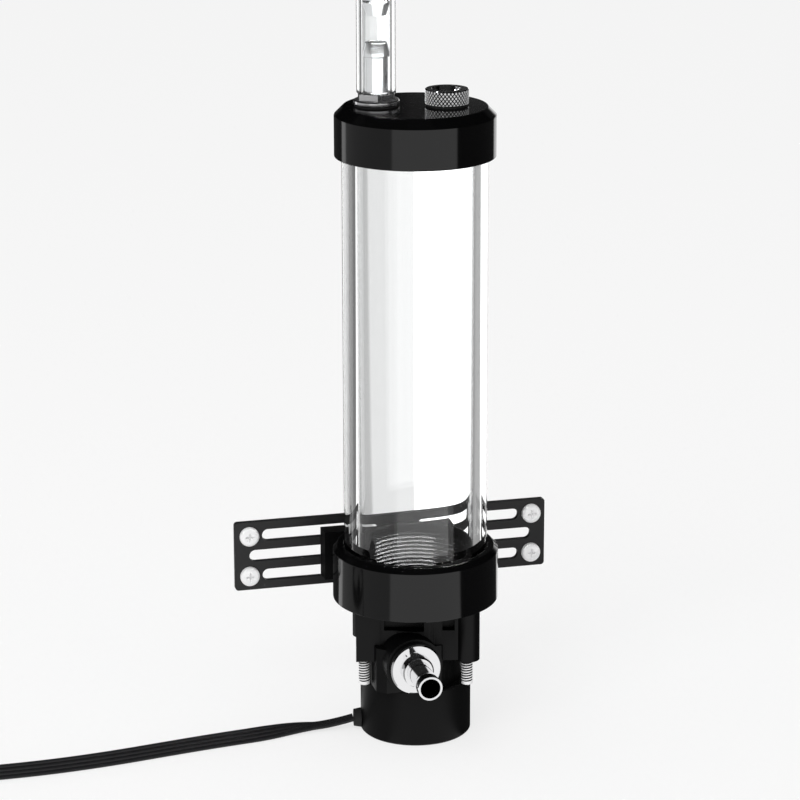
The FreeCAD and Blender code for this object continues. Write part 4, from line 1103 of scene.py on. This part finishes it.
# Turn of each bracket screw's cross, in degrees, as its fitter left it
CROSS_TURNS = (2, 86, 88, 3)


class RESERVOIR_OT_bracket_screws(bpy.types.Operator):
    """The bracket's pan screws with a cross recess"""
    bl_idname = "reservoir.bracket_screws"
    bl_label = "Bracket screws"

    def execute(self, context):
        kit = context.scene.reservoir_fasteners
        parts = []
        for i, (start, end) in enumerate(solid_places("bracket_screws")):
            head, thick, shank = (end.x - start.x) / 2, 1.9 * MM, 1.75 * MM
            top, thread_depth, rows_per_turn = end.y - start.y, 0.22 * MM, 8
            seat = top - thick
            rows = [(0, 0), (shank * 0.7, 0)]
            steps = int(seat / kit.screw_pitch * rows_per_turn)
            neck = seat - kit.screw_neck
            rows += [(shank, 0.3 * MM + (neck - 0.5 * MM) * k / steps) for k in range(steps + 1)]
            rows += [(shank, neck), (kit.screw_waist, neck), (kit.screw_waist, seat)]
            rows += [(head, seat), (head, top - thick * 0.6)]
            for k in range(1, 7):
                rise = math.radians(90 * k / 7)
                rows.append((head * (0.8 + 0.2 * math.cos(rise)),
                             top - thick * 0.6 + thick * 0.54 * math.sin(rise)))
            rows += [(head * 0.7, top - thick * 0.02), (head * 0.4, top), (0, top)]

            def wave(turn, point, shank=shank, thread_top=neck - 0.25 * MM):
                r, z = point
                if abs(r - shank) > TINY or z > thread_top:
                    return 1
                return 1 - thread_depth * saw(z / kit.screw_pitch - turn) / shank

            body = lathe_mesh("screw", rows, 64, None, wave)
            cross = joined([cross_cutter(kit.cross_width, kit.cross_reach, kit.cross_depth, top)], "cross")
            stand = Matrix.Translation((start.x + head, end.y, start.z + head))
            stand = stand @ Matrix.Rotation(math.radians(90), 4, "X")
            stand = stand @ Matrix.Rotation(math.radians(CROSS_TURNS[i % 4]), 4, "Z")
            parts.append(moved(cut_out(body, cross, "screw"), stand))
        mesh = joined(parts, "bracket_screws_shell")
        dress("bracket_screws_shell", mesh, finish_of(zinc_steel), "bracket",
              ("bracket_screws",), 25)
        return {"FINISHED"}


class RESERVOIR_PT_panel(bpy.types.Panel):
    bl_idname = "RESERVOIR_PT_panel"
    bl_label = "Reservoir"
    bl_space_type = "VIEW_3D"
    bl_region_type = "UI"
    bl_category = "Reservoir"

    def draw(self, context):
        for group in SETTINGS:
            settings = getattr(context.scene, group)
            for name in settings.__annotations__:
                self.layout.prop(settings, name)
        for operator in OPERATORS:
            self.layout.operator(operator.bl_idname)


SETTINGS = {
    "reservoir_studio": StudioSettings, "reservoir_lead": LeadSettings, "reservoir_cap": CapSettings,
    "reservoir_hose": HoseSettings, "reservoir_plug": PlugSettings, "reservoir_fasteners": FastenerSettings,
}
OPERATORS = [
    RESERVOIR_OT_stage, RESERVOIR_OT_lead, RESERVOIR_OT_inner, RESERVOIR_OT_eased, RESERVOIR_OT_top_cap,
    RESERVOIR_OT_bottom_cap, RESERVOIR_OT_hose_fitting, RESERVOIR_OT_fill_plug, RESERVOIR_OT_studs,
    RESERVOIR_OT_bracket_screws,
]


def register():
    for group in SETTINGS.values():
        bpy.utils.register_class(group)
    for operator in OPERATORS:
        bpy.utils.register_class(operator)
    bpy.utils.register_class(RESERVOIR_PT_panel)
    for name, group in SETTINGS.items():
        setattr(bpy.types.Scene, name, PointerProperty(type=group))


def unregister():
    for name in SETTINGS:
        delattr(bpy.types.Scene, name)
    bpy.utils.unregister_class(RESERVOIR_PT_panel)
    for operator in OPERATORS:
        bpy.utils.unregister_class(operator)
    for group in SETTINGS.values():
        bpy.utils.unregister_class(group)


def main():
    register()
    bpy.ops.reservoir.stage()
    bpy.ops.reservoir.lead()
    bpy.ops.reservoir.inner()
    bpy.ops.reservoir.eased()
    bpy.ops.reservoir.top_cap()
    bpy.ops.reservoir.bottom_cap()
    bpy.ops.reservoir.hose_fitting()
    bpy.ops.reservoir.fill_plug()
    bpy.ops.reservoir.studs()
    bpy.ops.reservoir.bracket_screws()


if __name__ == "__main__":
    main()
